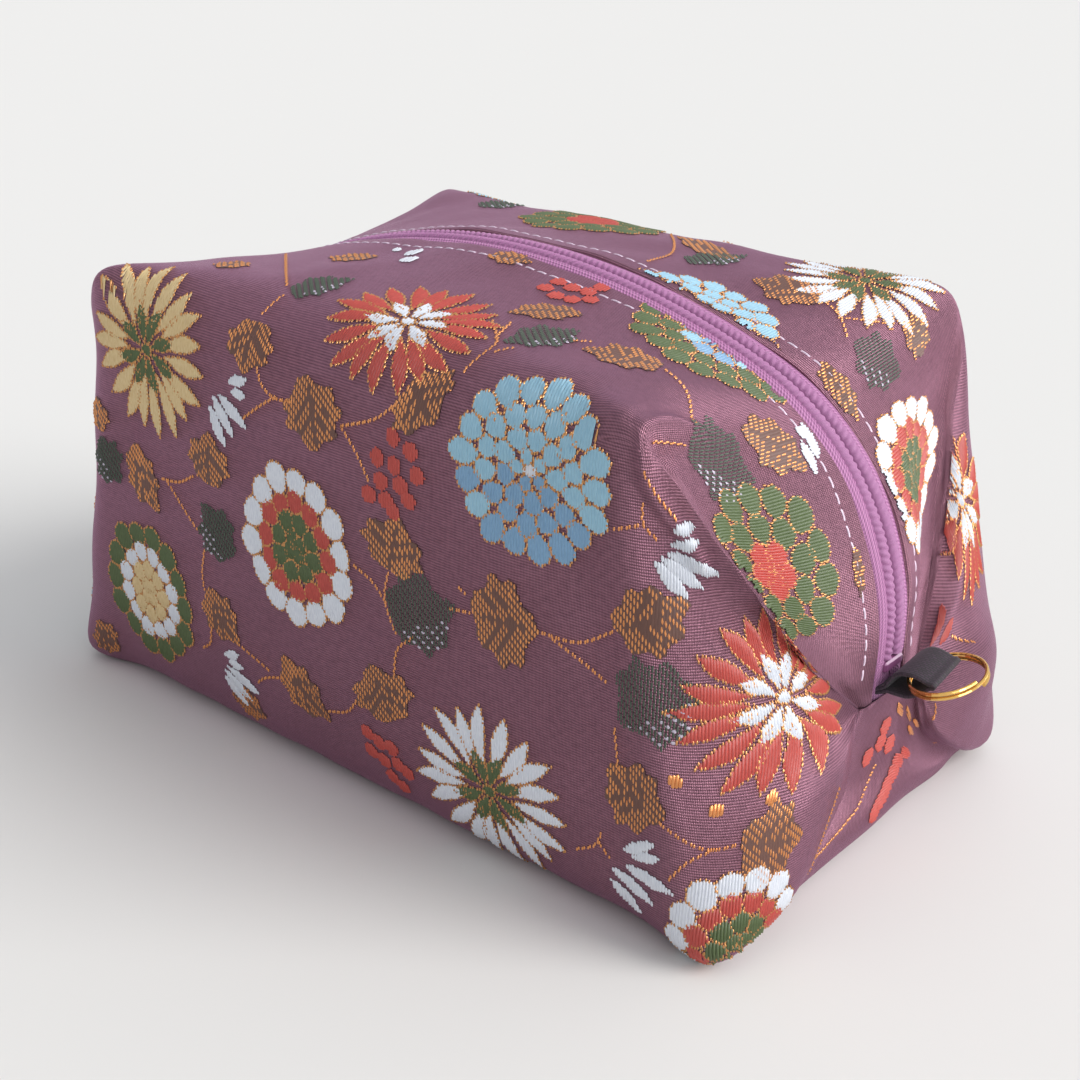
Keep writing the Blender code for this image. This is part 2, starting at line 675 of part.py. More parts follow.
def sheared(x, y, z):
    """Tilts the tab across its width, more and more from its root to where the ring hangs."""
    root = tab_course()[0][0]
    share = min(max((x - root) / (tab_channel()[0] - root), 0.0), 1.0)
    return x, y, z + y * math.tan(TAB_TILT) * share * share


def tab_loop():
    """A folded cloth tab: two layers from the end seam that open into a flat fold round the ring."""
    course = tab_course()
    count = len(course)
    pivot, first_open, last_open = TAB_PIVOT_INDEX, TAB_LAYERS_JOINED, count - 2
    ways = [unit(course[min(i + 1, count - 1)] - course[max(i - 1, 0)]) for i in range(count)]
    across = [np.array((-way[1], way[0])) for way in ways]

    def opening(index):
        before, after = pivot - first_open, last_open - pivot
        share = (pivot - index) / before if index < pivot else (index - pivot) / after
        return channel_radius() * math.cos(math.pi / 2 * min(share, 1.0))

    def prism(shape, points, half_width):
        faces = []
        for y in (-half_width, half_width):
            faces.append(shape.faces.new([shape.verts.new(sheared(x, y, z)) for x, z in points]))
        bmesh.ops.bridge_loops(shape, edges=list(faces[0].edges) + list(faces[1].edges))

    thick = [TAB_CLOTH + opening(i) for i in range(count)]
    over = [course[i] + across[i] * thick[i] for i in range(count)]
    under = [course[i] - across[i] * thick[i] for i in range(count)]
    beyond = course[-1] + ways[-1] * TAB_CLOTH * 0.7
    round_end = [beyond + across[-1] * TAB_CLOTH * side * 0.5 for side in (1, -1)]
    shape = bmesh.new()
    prism(shape, over + round_end + under[::-1], TAB_WIDTH / 2)
    made = finish(shape, "tab_loop", "tab_cloth")
    inside = range(first_open + 1, last_open)
    hole = [course[first_open]] + [course[i] + across[i] * opening(i) for i in inside]
    hole += [course[last_open]] + [course[i] - across[i] * opening(i) for i in reversed(inside)]
    join(made, solid("tab_channel", lambda cutter: prism(cutter, hole, TAB_WIDTH)), "DIFFERENCE")
    return made


def split_ring():
    """A flat coil of nearly two turns of round wire, hanging in the tab's fold."""
    centre_x, centre_z = tab_channel()
    radius = (RING_DIAMETER - RING_WIRE) / 2
    offset = radius - ring_arc_depth() / 2
    pitch = RING_WIRE + RING_TURN_GAP
    curve = bpy.data.curves.new("split_ring", "CURVE")
    curve.dimensions = "3D"
    spline = curve.splines.new("POLY")
    spline.points.add(RING_STEPS)
    for step in range(RING_STEPS + 1):
        turn = 2 * math.pi * RING_TURNS * step / RING_STEPS
        x = offset + radius * math.cos(turn)
        y = radius * math.sin(turn)
        z = pitch * (turn / (2 * math.pi) - RING_TURNS / 2)
        out = x * math.cos(RING_TILT) - z * math.sin(RING_TILT)
        lift = x * math.sin(RING_TILT) + z * math.cos(RING_TILT)
        across = y * math.cos(TAB_TILT) - lift * math.sin(TAB_TILT)
        up = y * math.sin(TAB_TILT) + lift * math.cos(TAB_TILT)
        spline.points[step].co = (out, across, up, 1.0)
    curve.bevel_depth = RING_WIRE / 2
    curve.bevel_resolution = 2
    curve.use_fill_caps = True
    curve.materials.append(material("gilt_metal"))
    made = bpy.data.objects.new("split_ring", curve)
    made.location = (centre_x, 0.0, centre_z)
    bpy.context.scene.collection.objects.link(made)
    return made


def build():
    clear_scene()
    tape_inset = SHELL_WALL + LAYER_GAP
    lining_inset = tape_inset + TAPE_THICKNESS + LAYER_GAP
    sewn_bag("outer_shell", "brocade", whole_grid(FRONT_LAP, BACK_LAP, 0.0, EAR_THICKNESS),
             whole_grid(FRONT_LAP, BACK_LAP, SHELL_WALL, 0.0))
    sewn_bag("lining", "lining_cloth", whole_grid(LINING_LAP, LINING_LAP, lining_inset, 0.0),
             whole_grid(LINING_LAP, LINING_LAP, lining_inset + LINING_WALL, 0.0))
    for name, side in (("tape_front", -1), ("tape_back", 1)):
        strip(name, "zip_tape", tape_grid(side, tape_inset), tape_grid(side, tape_inset + TAPE_THICKNESS))
    chain_half("chain_front", -1)
    chain_half("chain_back", 1)
    inner, outer = CHAIN_SPLIT / 2, CHAIN_WIDTH / 2
    end_stop("top_stop_front", -1, -outer, -inner)
    end_stop("top_stop_back", -1, inner, outer)
    end_stop("bottom_stop", 1, -outer, outer)
    slider_body()
    pull_tab()
    tab_loop()
    split_ring()


build()
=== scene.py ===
import math

import bpy
import numpy as np
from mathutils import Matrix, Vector
from mathutils.bvhtree import BVHTree


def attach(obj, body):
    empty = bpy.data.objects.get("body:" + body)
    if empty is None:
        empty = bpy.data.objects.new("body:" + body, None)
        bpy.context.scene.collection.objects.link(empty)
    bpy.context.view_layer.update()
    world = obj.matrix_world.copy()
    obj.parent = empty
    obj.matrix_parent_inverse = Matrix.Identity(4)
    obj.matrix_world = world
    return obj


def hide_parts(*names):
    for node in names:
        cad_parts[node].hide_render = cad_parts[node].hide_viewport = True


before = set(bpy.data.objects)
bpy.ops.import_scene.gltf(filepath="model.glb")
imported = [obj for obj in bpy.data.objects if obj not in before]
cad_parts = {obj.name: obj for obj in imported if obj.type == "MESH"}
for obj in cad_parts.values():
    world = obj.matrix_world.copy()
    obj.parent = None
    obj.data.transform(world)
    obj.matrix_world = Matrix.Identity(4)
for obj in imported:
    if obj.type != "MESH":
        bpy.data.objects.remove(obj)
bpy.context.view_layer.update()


# Camera, table and light. The pouch stands on a pale table in soft studio light. Most of it comes
# from the right and behind, so the right end shines and the front lies in open shade. Lengths are
# in metres throughout.
def linear(colour):
    """An sRGB hex value as linear red, green and blue, with 1 for alpha."""
    shares = [int(colour[start:start + 2], 16) / 255 for start in (1, 3, 5)]
    return (*[s / 12.92 if s <= 0.04045 else ((s + 0.055) / 1.055) ** 2.4 for s in shares], 1.0)


def set_inputs(material, node, inputs):
    """Sets a node's inputs. One that is given a socket is linked to it."""
    for name, value in inputs.items():
        if isinstance(value, bpy.types.NodeSocket):
            material.node_tree.links.new(value, node.inputs[name])
        else:
            node.inputs[name].default_value = value


def add_node(material, kind, inputs=None, **settings):
    """Adds a shader node with its settings and inputs."""
    made = material.node_tree.nodes.new("ShaderNode" + kind)
    for name, value in settings.items():
        setattr(made, name, value)
    set_inputs(material, made, inputs or {})
    return made


def new_material(name, colour, roughness, metallic=0.0):
    """A material of one colour, and its shader for what is added to it."""
    made = bpy.data.materials.new(name)
    made.use_nodes = True
    shader = made.node_tree.nodes["Principled BSDF"]
    set_inputs(made, shader, {"Base Color": linear(colour), "Roughness": roughness, "Metallic": metallic})
    return made, shader


camera = bpy.data.objects.new("camera", bpy.data.cameras.new("camera"))
camera.location = (0.174315, -0.199243, 0.150013)
camera.rotation_euler = [math.radians(turn) for turn in (65.932, -0.333, 40.476)]
camera.data.sensor_width = 36.0
camera.data.lens = 54.18
camera.data.clip_start = 0.01
bpy.context.scene.collection.objects.link(camera)
bpy.context.scene.camera = camera
bpy.context.scene.view_settings.view_transform = "Standard"

table_size, table_level = 6.0, -0.0002
table_white, table_shader = new_material("matt_white_laminate", "#e6e5e2", 0.7)
set_inputs(table_white, table_shader, {"Specular IOR Level": 0.0})
table_mesh = bpy.data.meshes.new("table_top")
table_mesh.from_pydata([(x * table_size / 2, y * table_size / 2, 0.0)
                        for x, y in ((-1, -1), (1, -1), (1, 1), (-1, 1))], [], [(0, 1, 2, 3)])
table_mesh.materials.append(table_white)
table_top = bpy.data.objects.new("table_top", table_mesh)
table_top.location.z = table_level
bpy.context.scene.collection.objects.link(table_top)

window_way = Vector((-0.78, -0.33, -0.53))
window = bpy.data.lights.new("window", "SUN")
window.energy = 2.35
window.angle = 0.62
window.color = linear("#fffdfa")[:3]
window_light = bpy.data.objects.new("window", window)
window_light.rotation_euler = window_way.to_track_quat("-Z", "Y").to_euler()
bpy.context.scene.collection.objects.link(window_light)

shine_aim = Vector((0.03, 0.0, 0.04))


def shine_card(name, place, size, power):
    """A white card beside the table that is only seen as a shine on satin and metal."""
    lamp = bpy.data.lights.new(name, "AREA")
    lamp.size = size
    lamp.energy = power
    card = bpy.data.objects.new(name, lamp)
    card.location = place
    card.rotation_euler = (shine_aim - Vector(place)).to_track_quat("-Z", "Y").to_euler()
    card.visible_diffuse = False
    bpy.context.scene.collection.objects.link(card)


shine_card("card_right", (0.62, -0.24, 0.14), 0.26, 1.3)
shine_card("card_behind", (0.42, 0.55, 0.24), 0.30, 1.3)
shine_card("card_above", (0.50, -0.38, 0.36), 0.30, 3.2)

window_side, far_side, near_side, far_glow, near_glow = (0.72, 0.50, 0.48), -0.7, 0.95, 0.20, 1.15
room = bpy.data.worlds.new("pale_room")
bpy.context.scene.world = room
room.use_nodes = True
room_light = room.node_tree.nodes["Background"]
outlook = add_node(room, "TexCoord")
to_window = add_node(room, "VectorMath", {0: outlook.outputs["Generated"], 1: window_side},
                     operation="DOT_PRODUCT")
glow = add_node(room, "MapRange", {"Value": to_window.outputs["Value"], "From Min": far_side, "From Max": near_side,
                                   "To Min": far_glow, "To Max": near_glow})
ray = add_node(room, "LightPath")
mirrored = add_node(room, "Math", {0: ray.outputs["Is Glossy Ray"], 1: ray.outputs["Is Transmission Ray"]},
                    operation="MAXIMUM")
seen = add_node(room, "Math", {0: ray.outputs["Is Camera Ray"], 1: mirrored.outputs[0]}, operation="MAXIMUM")
backdrop = add_node(room, "Mix", {0: seen.outputs[0], 2: glow.outputs[0], 3: 1.0})
set_inputs(room, room_light, {"Color": linear("#f2f4f9"), "Strength": backdrop.outputs[0]})


# Body cloth: one piece of stiffened satin brocade, cut open along the zip and folded like an
# envelope at both ends. Its raw edges are turned under beside the zip and topstitched.
base_length, base_depth = 0.150, 0.084
top_length, top_depth = 0.116, 0.087
corner_height, crest_height, seam_height = 0.0795, 0.0856, 0.029
ear_gap, ear_thickness, seam_tuck = 0.017, 0.0016, 0.0006
crest_radius, shoulder_radius, shoulder_turn = 0.130, 0.040, math.radians(67.0)

# How full each panel is, and how its creases sag and roll.
front_fullness, face_fullness, top_fullness, top_hollow = 0.0025, 0.0010, 0.0006, 0.0012
ear_fullness, lower_crease_sag, lower_crease_sway, crease_sag = 0.0070, 0.0062, 0.0120, 0.0026
crease_fullness = {-1: 0.0064, 1: 0.0009}
ridge_roll, ridge_rise, ridge_drop = 0.0065, 0.0015, 0.0045
base_roll, base_roll_height = 0.0050, 0.0035
corner_tuck, lean_power, ear_facing = 0.0015, 0.9, (0.85, 0.50, 0.10)
face_bow_from, face_bow_run, upper_ear_flatness = 0.15, 0.7, 0.4
zip_level_band = 0.0042
front_lap, back_lap = 0.0056, 0.0042

# Where the rows and columns of the key points lie, as shares of a panel.
row_shares = (0.0, 0.22, 0.42, 0.56, 0.70, 0.85, 1.0)
corner_row, ridge_column, base_side_column = 3, 3, 10
body_shares, base_shares, ridge_roll_shares = (0.0, 0.42, 0.80), (0.0, 0.40, 0.78), (1.0, 0.92, 0.62)
crease_shares = (0.0, 0.0, 0.0, 0.0, 0.33, 0.67, 1.0)
ear_shares = (0.0, 0.0, 0.0, 0.06, 0.40, 0.72, 1.0)
top_swells = (1.0, 1.0, 0.7, -0.5, -1.0, -0.6, 0.0)
top_shares, panel_shares = (0.0, 0.30, 0.65), (0.80, 0.60, 0.40, 0.20)


def zip_arch(length, inset=0.0):
    """A point (x, z) on the zip's arch and its slope there, at a length from the crest."""
    crest, shoulder = crest_radius - inset, shoulder_radius - inset
    crest_turn = math.pi / 2 - shoulder_turn
    crest_run, shoulder_run = crest * crest_turn, shoulder * shoulder_turn
    first = min(length, crest_run) / crest
    second = min(max(length - crest_run, 0.0), shoulder_run) / shoulder
    drop = max(length - crest_run - shoulder_run, 0.0)
    turn = crest_turn + second
    x = crest * math.sin(first) + shoulder * (math.sin(turn) - math.sin(crest_turn))
    z = crest_height - inset - crest * (1 - math.cos(first))
    return x, z - shoulder * (math.cos(crest_turn) - math.cos(turn)) - drop, first + second


def half_zip_line(inset=0.0):
    """Length of the arch from its crest to the end seam."""
    crest_turn = math.pi / 2 - shoulder_turn
    straight = crest_height - crest_radius + (crest_radius - shoulder_radius) * math.cos(crest_turn)
    return (crest_radius - inset) * crest_turn + (shoulder_radius - inset) * shoulder_turn + straight - seam_height


def at(x, y, z):
    """A point, as numbers that can be reckoned with."""
    return np.array([x, y, z], float)


def unit(vectors):
    """The vectors made one long, along the last axis."""
    vectors = np.asarray(vectors, float)
    return vectors / np.maximum(np.linalg.norm(vectors, axis=-1, keepdims=True), 1e-12)


def smooth_line(points, counts):
    """A curve through the points that doesn't overshoot, with counts[i] steps on stretch i."""
    points = np.asarray(points, float)
    spaced = np.vstack([2 * points[0] - points[1], points, 2 * points[-1] - points[-2]])
    out = []
    for index, count in enumerate(counts):
        a, b, c, d = spaced[index:index + 4]
        tb = math.sqrt(max(np.linalg.norm(b - a), 1e-9))
        tc = tb + math.sqrt(max(np.linalg.norm(c - b), 1e-9))
        td = tc + math.sqrt(max(np.linalg.norm(d - c), 1e-9))
        t = np.linspace(tb, tc, count + 1)[:-1, None]
        ab, bc = ((tb - t) * a + t * b) / tb, ((tc - t) * b + (t - tb) * c) / (tc - tb)
        cd = ((td - t) * c + (t - tc) * d) / (td - tc)
        abc, bcd = ((tc - t) * ab + t * bc) / tc, ((td - t) * bc + (t - tb) * cd) / (td - tb)
        out.append(((tc - t) * abc + (t - tb) * bcd) / (tc - tb))
    return np.vstack(out + [points[-1:]])


def pattern_points(side, lap, inset, ear):
    """Key points of a quarter of the bag at x >= 0, from the zip's edge down to the base's middle."""
    full = half_zip_line(inset)
    half_top, top_y = top_length / 2 - inset, top_depth / 2 - inset
    half_base, base_y = base_length / 2 - inset, base_depth / 2 - inset
    corner_z, floor = corner_height - inset, inset
    tall = corner_height - 2 * inset
    tip = at(zip_arch(full, inset)[0] - seam_tuck, side * ear_gap / 2, seam_height)
    top_corner = at(half_top - seam_tuck, side * (top_y - ridge_rise), corner_z - ridge_rise / 2)
    low_corner = at(half_base, side * base_y, floor)
    level_out = unit((1.0, side, 0.0))
    ear_out = unit((ear_facing[0], side * ear_facing[1], ear_facing[2]))
    rows = []
    for row, share in enumerate(row_shares):
        x, z, turn = zip_arch(share * full, inset)
        out_of_arch = at(math.sin(turn), 0.0, math.cos(turn))
        on_end = row >= corner_row
        q = crease_shares[row]
        if on_end:
            ridge = top_corner * (1 - q) + tip * q
            ridge = ridge + level_out * crease_fullness[side] * 4 * q * (1 - q)
            ridge[2] -= crease_sag * (q if q < 1 else 0.0)
        else:
            ridge = at(body_shares[row] * half_top, side * (top_y - ridge_roll * ridge_roll_shares[row]),
                       corner_z + ridge_rise * (1 - body_shares[row] / 2))
        columns = []
        beside_zip = at(x, side * zip_level_band, z)
        first = (lap - zip_level_band) / (abs(ridge[1]) - zip_level_band)
        swell = top_swells[row] * (top_fullness if top_swells[row] > 0 else top_hollow)
        for step in top_shares:
            f = first + (1 - first) * step
            bow = math.sin(math.pi * max(f - top_shares[1], 0.0) / (1 - top_shares[1]))
            columns.append(beside_zip * (1 - f) + ridge * f + out_of_arch * swell * bow)
        columns.append(ridge)
        if not on_end:
            columns.append(at(ridge[0], side * (top_y - 0.4 * ridge_rise), corner_z - ridge_drop))
        elif row == corner_row:
            columns.append(ridge + at(0.6 * ear_thickness, side * 0.5 * ear_thickness, -0.65 * ridge_drop))
        elif q < 1:
            columns.append(ridge + ear_out * ear - at(0.0, 0.0, 0.4 * ear_thickness))
        else:
            columns.append(ridge)
        w = ear_shares[row]
        for h in panel_shares:
            height = floor + h * tall
            corner_x = half_base - (half_base - half_top) * h ** lean_power - corner_tuck
            corner = at(corner_x, side * (base_y + face_fullness * (1 + h) / 2), height)
            if not on_end:
                bow = math.sin(math.pi * (face_bow_from + face_bow_run * h))
                bow = front_fullness * (1 - body_shares[row] ** 2) * bow
                columns.append(at(body_shares[row] * corner_x, side * (base_y + face_fullness + bow), height))
            elif row == corner_row:
                columns.append(corner)
            elif w < 1:
                bulge = ear_fullness * 4 * w * (1 - w) * (1.0 - upper_ear_flatness * h)
                columns.append(corner * (1 - w) + tip * w + ear_out * (ear * w + bulge))
            else:
                columns.append(tip)
        if not on_end:
            along = base_shares[row] * half_base
            columns.append(at(along, side * (base_y - 0.1 * base_roll_height), floor + base_roll_height))
            columns.append(at(along, side * (base_y - base_roll), floor))
        elif row == corner_row:
            columns.append(low_corner + at(-0.45 * base_roll_height, 0.0, 0.7 * base_roll_height))
            columns.append(low_corner + at(-base_roll, -side * base_roll, 0.0))
        elif w < 1:
            low = low_corner * (1 - w) + tip * w
            low[2] -= lower_crease_sag * 4 * w * (1 - w)
            low[1] -= side * (w - 0.5) * lower_crease_sway
            columns.append(low + at(ear, 0.0, 0.0))
            columns.append(low - at(0.3 * ear_thickness, side * 0.5 * ear_thickness, 0.5 * ear_thickness))
        else:
            columns.extend([tip, tip])
        outer_y, inner = columns[-1][1], side * lap
        for f in top_shares[::-1]:
            y = inner * (1 - f) + outer_y * f
            if not on_end:
                columns.append(at(base_shares[row] * half_base, y, floor))
            elif row == corner_row:
                columns.append(at(half_base - 0.9 * base_roll, y, floor))
            else:
                columns.append(at(columns[-1][0], y, columns[-1][2]))
        columns.append(columns[-1] * (1, 0, 1))
        rows.append(columns)
    return np.array(rows)


def quarter_skin(side, lap, inset, ear, row_steps, column_steps):
    """The smooth skin of a quarter, as points [row][column] from the middle to the right end seam."""
    keys = pattern_points(side, lap, inset, ear)
    lines = []
    for column in range(keys.shape[1]):
        path = keys[:, column]
        line = smooth_line(np.vstack([path[1] * (-1, 1, 1), path]), (row_steps[0],) + tuple(row_steps))
        lines.append(line[row_steps[0]:])
    skin = np.array([smooth_line(row, column_steps) for row in np.array(lines).transpose(1, 0, 2)])
    skin[:, :, 2] = np.maximum(skin[:, :, 2], inset)
    to_ridge, to_base = sum(column_steps[:ridge_column]), sum(column_steps[:base_side_column])
    tip, edge = keys[-1, ridge_column], keys[-1, 0]
    for column in range(skin.shape[1]):
        skin[-1, column] = edge + (tip - edge) * min(column / to_ridge, 1.0)
    for step in range(to_ridge + 1):
        skin[-1, to_base + step] = edge + (tip - edge) * (1.0 - step / to_ridge)
    skin[-1, -1] = edge * (1, 0, 1)
    return skin


row_steps = (24, 22, 14, 15, 16, 16)
column_steps = (11, 11, 12, 6, 12, 14, 14, 14, 12, 6, 12, 11, 11, 5)
front = quarter_skin(-1, front_lap, 0.0, ear_thickness, row_steps, column_steps)
back = quarter_skin(1, back_lap, 0.0, ear_thickness, row_steps, column_steps)
right_half = np.concatenate([front[:, :-1], (front[:, -1:] + back[:, -1:]) / 2, back[:, -2::-1]], axis=1)
skin = np.concatenate([right_half[:0:-1] * (-1, 1, 1), right_half], axis=0)
row_count, column_count = skin.shape[:2]
middle_row, middle_column = row_count // 2, column_count // 2
corner_step = sum(row_steps[:corner_row])
ridge_step, ear_step, crease_step, base_step = (
    sum(column_steps[:column]) for column in (ridge_column, ridge_column + 1, base_side_column - 1, base_side_column))


def cloth_lengths(points):
    """Where each point of the skin lay on the flat cloth: u along the zip, v from the front edge round."""
    along = np.linalg.norm(np.diff(points, axis=0), axis=2)
    u = np.vstack([np.zeros((1, column_count)), np.cumsum(along, axis=0)])
    u -= u[middle_row]
    v = np.zeros((row_count, column_count))
    for side, order in ((-1, slice(None)), (1, slice(None, None, -1))):
        half = points[:, order][:, :middle_column + 1]
        arc = np.linalg.norm(np.diff(half, axis=1), axis=2)
        arc = np.hstack([np.zeros((row_count, 1)), np.cumsum(arc, axis=1)])
        middle = half[middle_row]
        flat = arc.copy()
        ear_v, ear_z = arc[middle_row, ear_step], middle[ear_step, 2]
        flat[:, ear_step:crease_step + 1] = ear_v + ear_z - half[:, ear_step:crease_step + 1, 2]
        base_v = ear_v + ear_z - middle[crease_step, 2] + arc[middle_row, base_step] - arc[middle_row, crease_step]
        flat[:, base_step:] = base_v + abs(middle[base_step, 1]) - np.abs(half[:, base_step:, 1])
        for first, last in ((ridge_step, ear_step), (crease_step, base_step)):
            for column in range(first + 1, last):
                share = (column - first) / (last - first)
                ends = flat[:, first] * (1 - share) + flat[:, last] * share
                on_end = np.abs(np.arange(row_count) - middle_row) > corner_step
                flat[:, column] = np.where(on_end | (first == crease_step), ends, flat[:, column])
        if side < 0:
            v[:, :middle_column + 1] = flat
            front_width = flat[middle_row, -1]
        else:
            v[:, middle_column:] = (front_width + flat[middle_row, -1] - flat)[:, ::-1]
    return u, v


bag_middle = at(0, 0, 0.04)


def skin_normals(points):
    """Outward unit normals of the skin's points."""
    normals = unit(np.cross(np.gradient(points, axis=1), np.gradient(points, axis=0)))
    inward = np.sum(normals * (points - bag_middle), axis=2) < 0
    normals[inward] *= -1
    return normals


cloth_u, cloth_v = cloth_lengths(skin)
normals = skin_normals(skin)

# The cloth's unevenness: two faint waves, and beside the front ear a pucker, which is a low ridge
# round a small hollow. Heights, then lengths of the waves and places on the flat cloth.
wave = 2 * math.pi
broad_wave, broad_along, broad_across = 0.00022, 0.034, 0.029
slant_wave, slant_along, slant_across, slant_fade = 0.00012, 0.017, 0.023, 0.061
rim_height, rim_width = 0.0011, 0.0014
hollow_u, hollow_v, hollow_half_u, hollow_half_v, hollow_depth = 0.0628, 0.0368, 0.0026, 0.0048, 0.0013
cloth_above_table = 0.0004
relief = broad_wave * np.sin(wave * (cloth_u / broad_along + 0.2)) * np.sin(wave * (cloth_v / broad_across + 0.1))
relief += (slant_wave * np.sin(wave * (cloth_u / slant_along + cloth_v / slant_across))
           * np.sin(wave * cloth_u / slant_fade))
pucker_rim = np.array([(0.0605, 0.0250), (0.0588, 0.0285), (0.0586, 0.0325), (0.0592, 0.0369), (0.0594, 0.0399),
                       (0.0600, 0.0428), (0.0618, 0.0458), (0.0649, 0.0494), (0.0697, 0.0548)])
rim_line = smooth_line(pucker_rim, (6,) * (len(pucker_rim) - 1))
from_rim = np.hypot(cloth_u[:, :, None] - rim_line[:, 0], cloth_v[:, :, None] - rim_line[:, 1]).min(axis=2)
from_hollow = np.hypot((cloth_u - hollow_u) / hollow_half_u, (cloth_v - hollow_v) / hollow_half_v)
relief += rim_height * np.exp(-(from_rim / rim_width) ** 2) - hollow_depth * np.exp(-from_hollow ** 2)
skin = skin + normals * relief[:, :, None]
skin[:, :, 2] = np.maximum(skin[:, :, 2], cloth_above_table)
normals = skin_normals(skin)


def skin_faces(rows, columns):
    """The four-cornered faces of a grid of points."""
    index = np.arange(rows * columns).reshape(rows, columns)
    return np.stack([index[:-1, :-1], index[:-1, 1:], index[1:, 1:], index[1:, :-1]], axis=-1).reshape(-1, 4)


def add_piece(name, points, faces, material, body, uv=None):
    """A mesh piece that rides on a body, with its cloth coordinates in metres where it has them."""
    mesh = bpy.data.meshes.new(name)
    mesh.from_pydata(np.asarray(points).tolist(), [], np.asarray(faces).tolist())
    if uv is not None:
        layer = mesh.uv_layers.new(name="cloth")
        corners = np.zeros(len(mesh.loops), dtype=np.int32)
        mesh.loops.foreach_get("vertex_index", corners)
        layer.data.foreach_set("uv", np.asarray(uv, float)[corners].astype(np.float32).ravel())
    mesh.materials.append(material)
    mesh.shade_smooth()
    made = bpy.data.objects.new(name, mesh)
    bpy.context.scene.collection.objects.link(made)
    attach(made, body)
    return made


fold_radius, fold_width, fold_steps = 0.0006, 0.0035, 6


def fold_edge(edge, inner, out, radius, width):
    """Points of an edge turned under: round a small fold and back below the cloth."""
    away = unit(edge - inner)
    away = unit(away - out * np.sum(away * out, axis=1, keepdims=True))
    turned = [edge + away * radius * math.sin(a) - out * radius * (1 - math.cos(a))
              for a in np.linspace(0, math.pi, fold_steps + 1)[1:]]
    return turned + [turned[-1] - away * width]


front_fold = fold_edge(skin[:, 0], skin[:, 1], normals[:, 0], fold_radius, fold_width)
back_fold = fold_edge(skin[:, -1], skin[:, -2], normals[:, -1], fold_radius, fold_width)
body_points = np.stack(front_fold[::-1] + list(skin.transpose(1, 0, 2)) + back_fold, axis=1)
body_u = np.hstack([cloth_u[:, :1]] * (fold_steps + 1) + [cloth_u] + [cloth_u[:, -1:]] * (fold_steps + 1))
turned_v = np.array([0.0003, 0.0006, 0.0009, 0.0012, 0.0015, 0.0018, 0.0018 + fold_width])
body_v = np.hstack([cloth_v[:, :1] - turned_v[::-1], cloth_v, cloth_v[:, -1:] + turned_v])


# Satin brocade ground: polyester satin with a crepe grain. Its warp floats show as fine slanting
# specks, dull plum in the shade and shining lilac where the light grazes them. The real specks are
# about 0.3 mm apart, too fine to show, so they are drawn 0.5 mm apart.
speck = 0.0005
plum_satin, satin_shader = new_material("plum_satin_ground", "#6b4866", 0.31, 0.60)
place = add_node(plum_satin, "UVMap", uv_map="cloth")
split = add_node(plum_satin, "SeparateXYZ", {0: place.outputs["UV"]})
grain = add_node(plum_satin, "TexNoise", {"Vector": place.outputs["UV"], "Scale": 900.0, "Detail": 2.0})
steep = add_node(plum_satin, "Math", {0: split.outputs["X"], 1: wave / speck}, operation="MULTIPLY")
level = add_node(plum_satin, "Math", {0: split.outputs["Y"], 1: wave / (speck * 1.7)}, operation="MULTIPLY")
lean = add_node(plum_satin, "Math", {0: steep.outputs[0], 1: level.outputs[0]}, operation="ADD")
counter = add_node(plum_satin, "Math", {0: steep.outputs[0], 1: level.outputs[0]}, operation="SUBTRACT")
lean_wave = add_node(plum_satin, "Math", {0: lean.outputs[0]}, operation="SINE")
counter_wave = add_node(plum_satin, "Math", {0: counter.outputs[0]}, operation="SINE")
specks = add_node(plum_satin, "Math", {0: lean_wave.outputs[0], 1: counter_wave.outputs[0]}, operation="MULTIPLY")
rough = add_node(plum_satin, "Math", {0: specks.outputs[0], 1: grain.outputs["Fac"]}, operation="ADD")
shade = add_node(plum_satin, "MapRange", {"Value": rough.outputs[0], "From Min": -0.25, "From Max": 1.25})
tone = add_node(plum_satin, "Mix", {0: shade.outputs["Result"], 6: linear("#4d323a"), 7: linear("#976b77")},
                data_type="RGBA")
bumps = add_node(plum_satin, "Bump", {"Height": rough.outputs[0], "Strength": 0.6, "Distance": 0.0001})
float_way = add_node(plum_satin, "Tangent", direction_type="UV_MAP", uv_map="cloth")
set_inputs(plum_satin, satin_shader, {
    "Base Color": tone.outputs[2], "Normal": bumps.outputs["Normal"], "Tangent": float_way.outputs["Tangent"],
    "Anisotropic": 0.9, "Anisotropic Rotation": 0.25, "Specular IOR Level": 1.0, "Specular Tint": linear("#ffc4f0"),
    "Sheen Weight": 0.12, "Sheen Roughness": 0.35, "Sheen Tint": linear("#f3c8ee")})

body_cloth = add_piece("body_cloth", body_points.reshape(-1, 3), skin_faces(*body_points.shape[:2]), plum_satin,
                       "bag", np.stack([body_u, body_v], axis=2).reshape(-1, 2))
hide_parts("outer_shell")


# Woven figures: flowers, leaves and vines in coloured floats, with gilt thread round the petals. Each
# is a run of single threads that lie across the zip's direction on the ground, as on the loom, so
# the figures follow the folds and are cut off by them. Real threads are 0.3 mm apart, here 0.5 mm.
thread = 0.0005
panes = skin_faces(row_count, column_count)
pane_row, pane_column = np.divmod(np.arange(len(panes)), column_count - 1)
mirrored_column = np.minimum(pane_column, column_count - 2 - pane_column)
beyond_corner = np.minimum(pane_row, row_count - 2 - pane_row) < middle_row - corner_step
folded = (mirrored_column >= ridge_step) & (mirrored_column < ear_step)
folded |= (mirrored_column >= crease_step) & (mirrored_column < base_step)
laid_panes = panes[~(folded & beyond_corner)]
flat_points = np.stack([cloth_u, cloth_v, np.zeros_like(cloth_u)], axis=2).reshape(-1, 3)
skin_points, skin_outward = skin.reshape(-1, 3), normals.reshape(-1, 3)
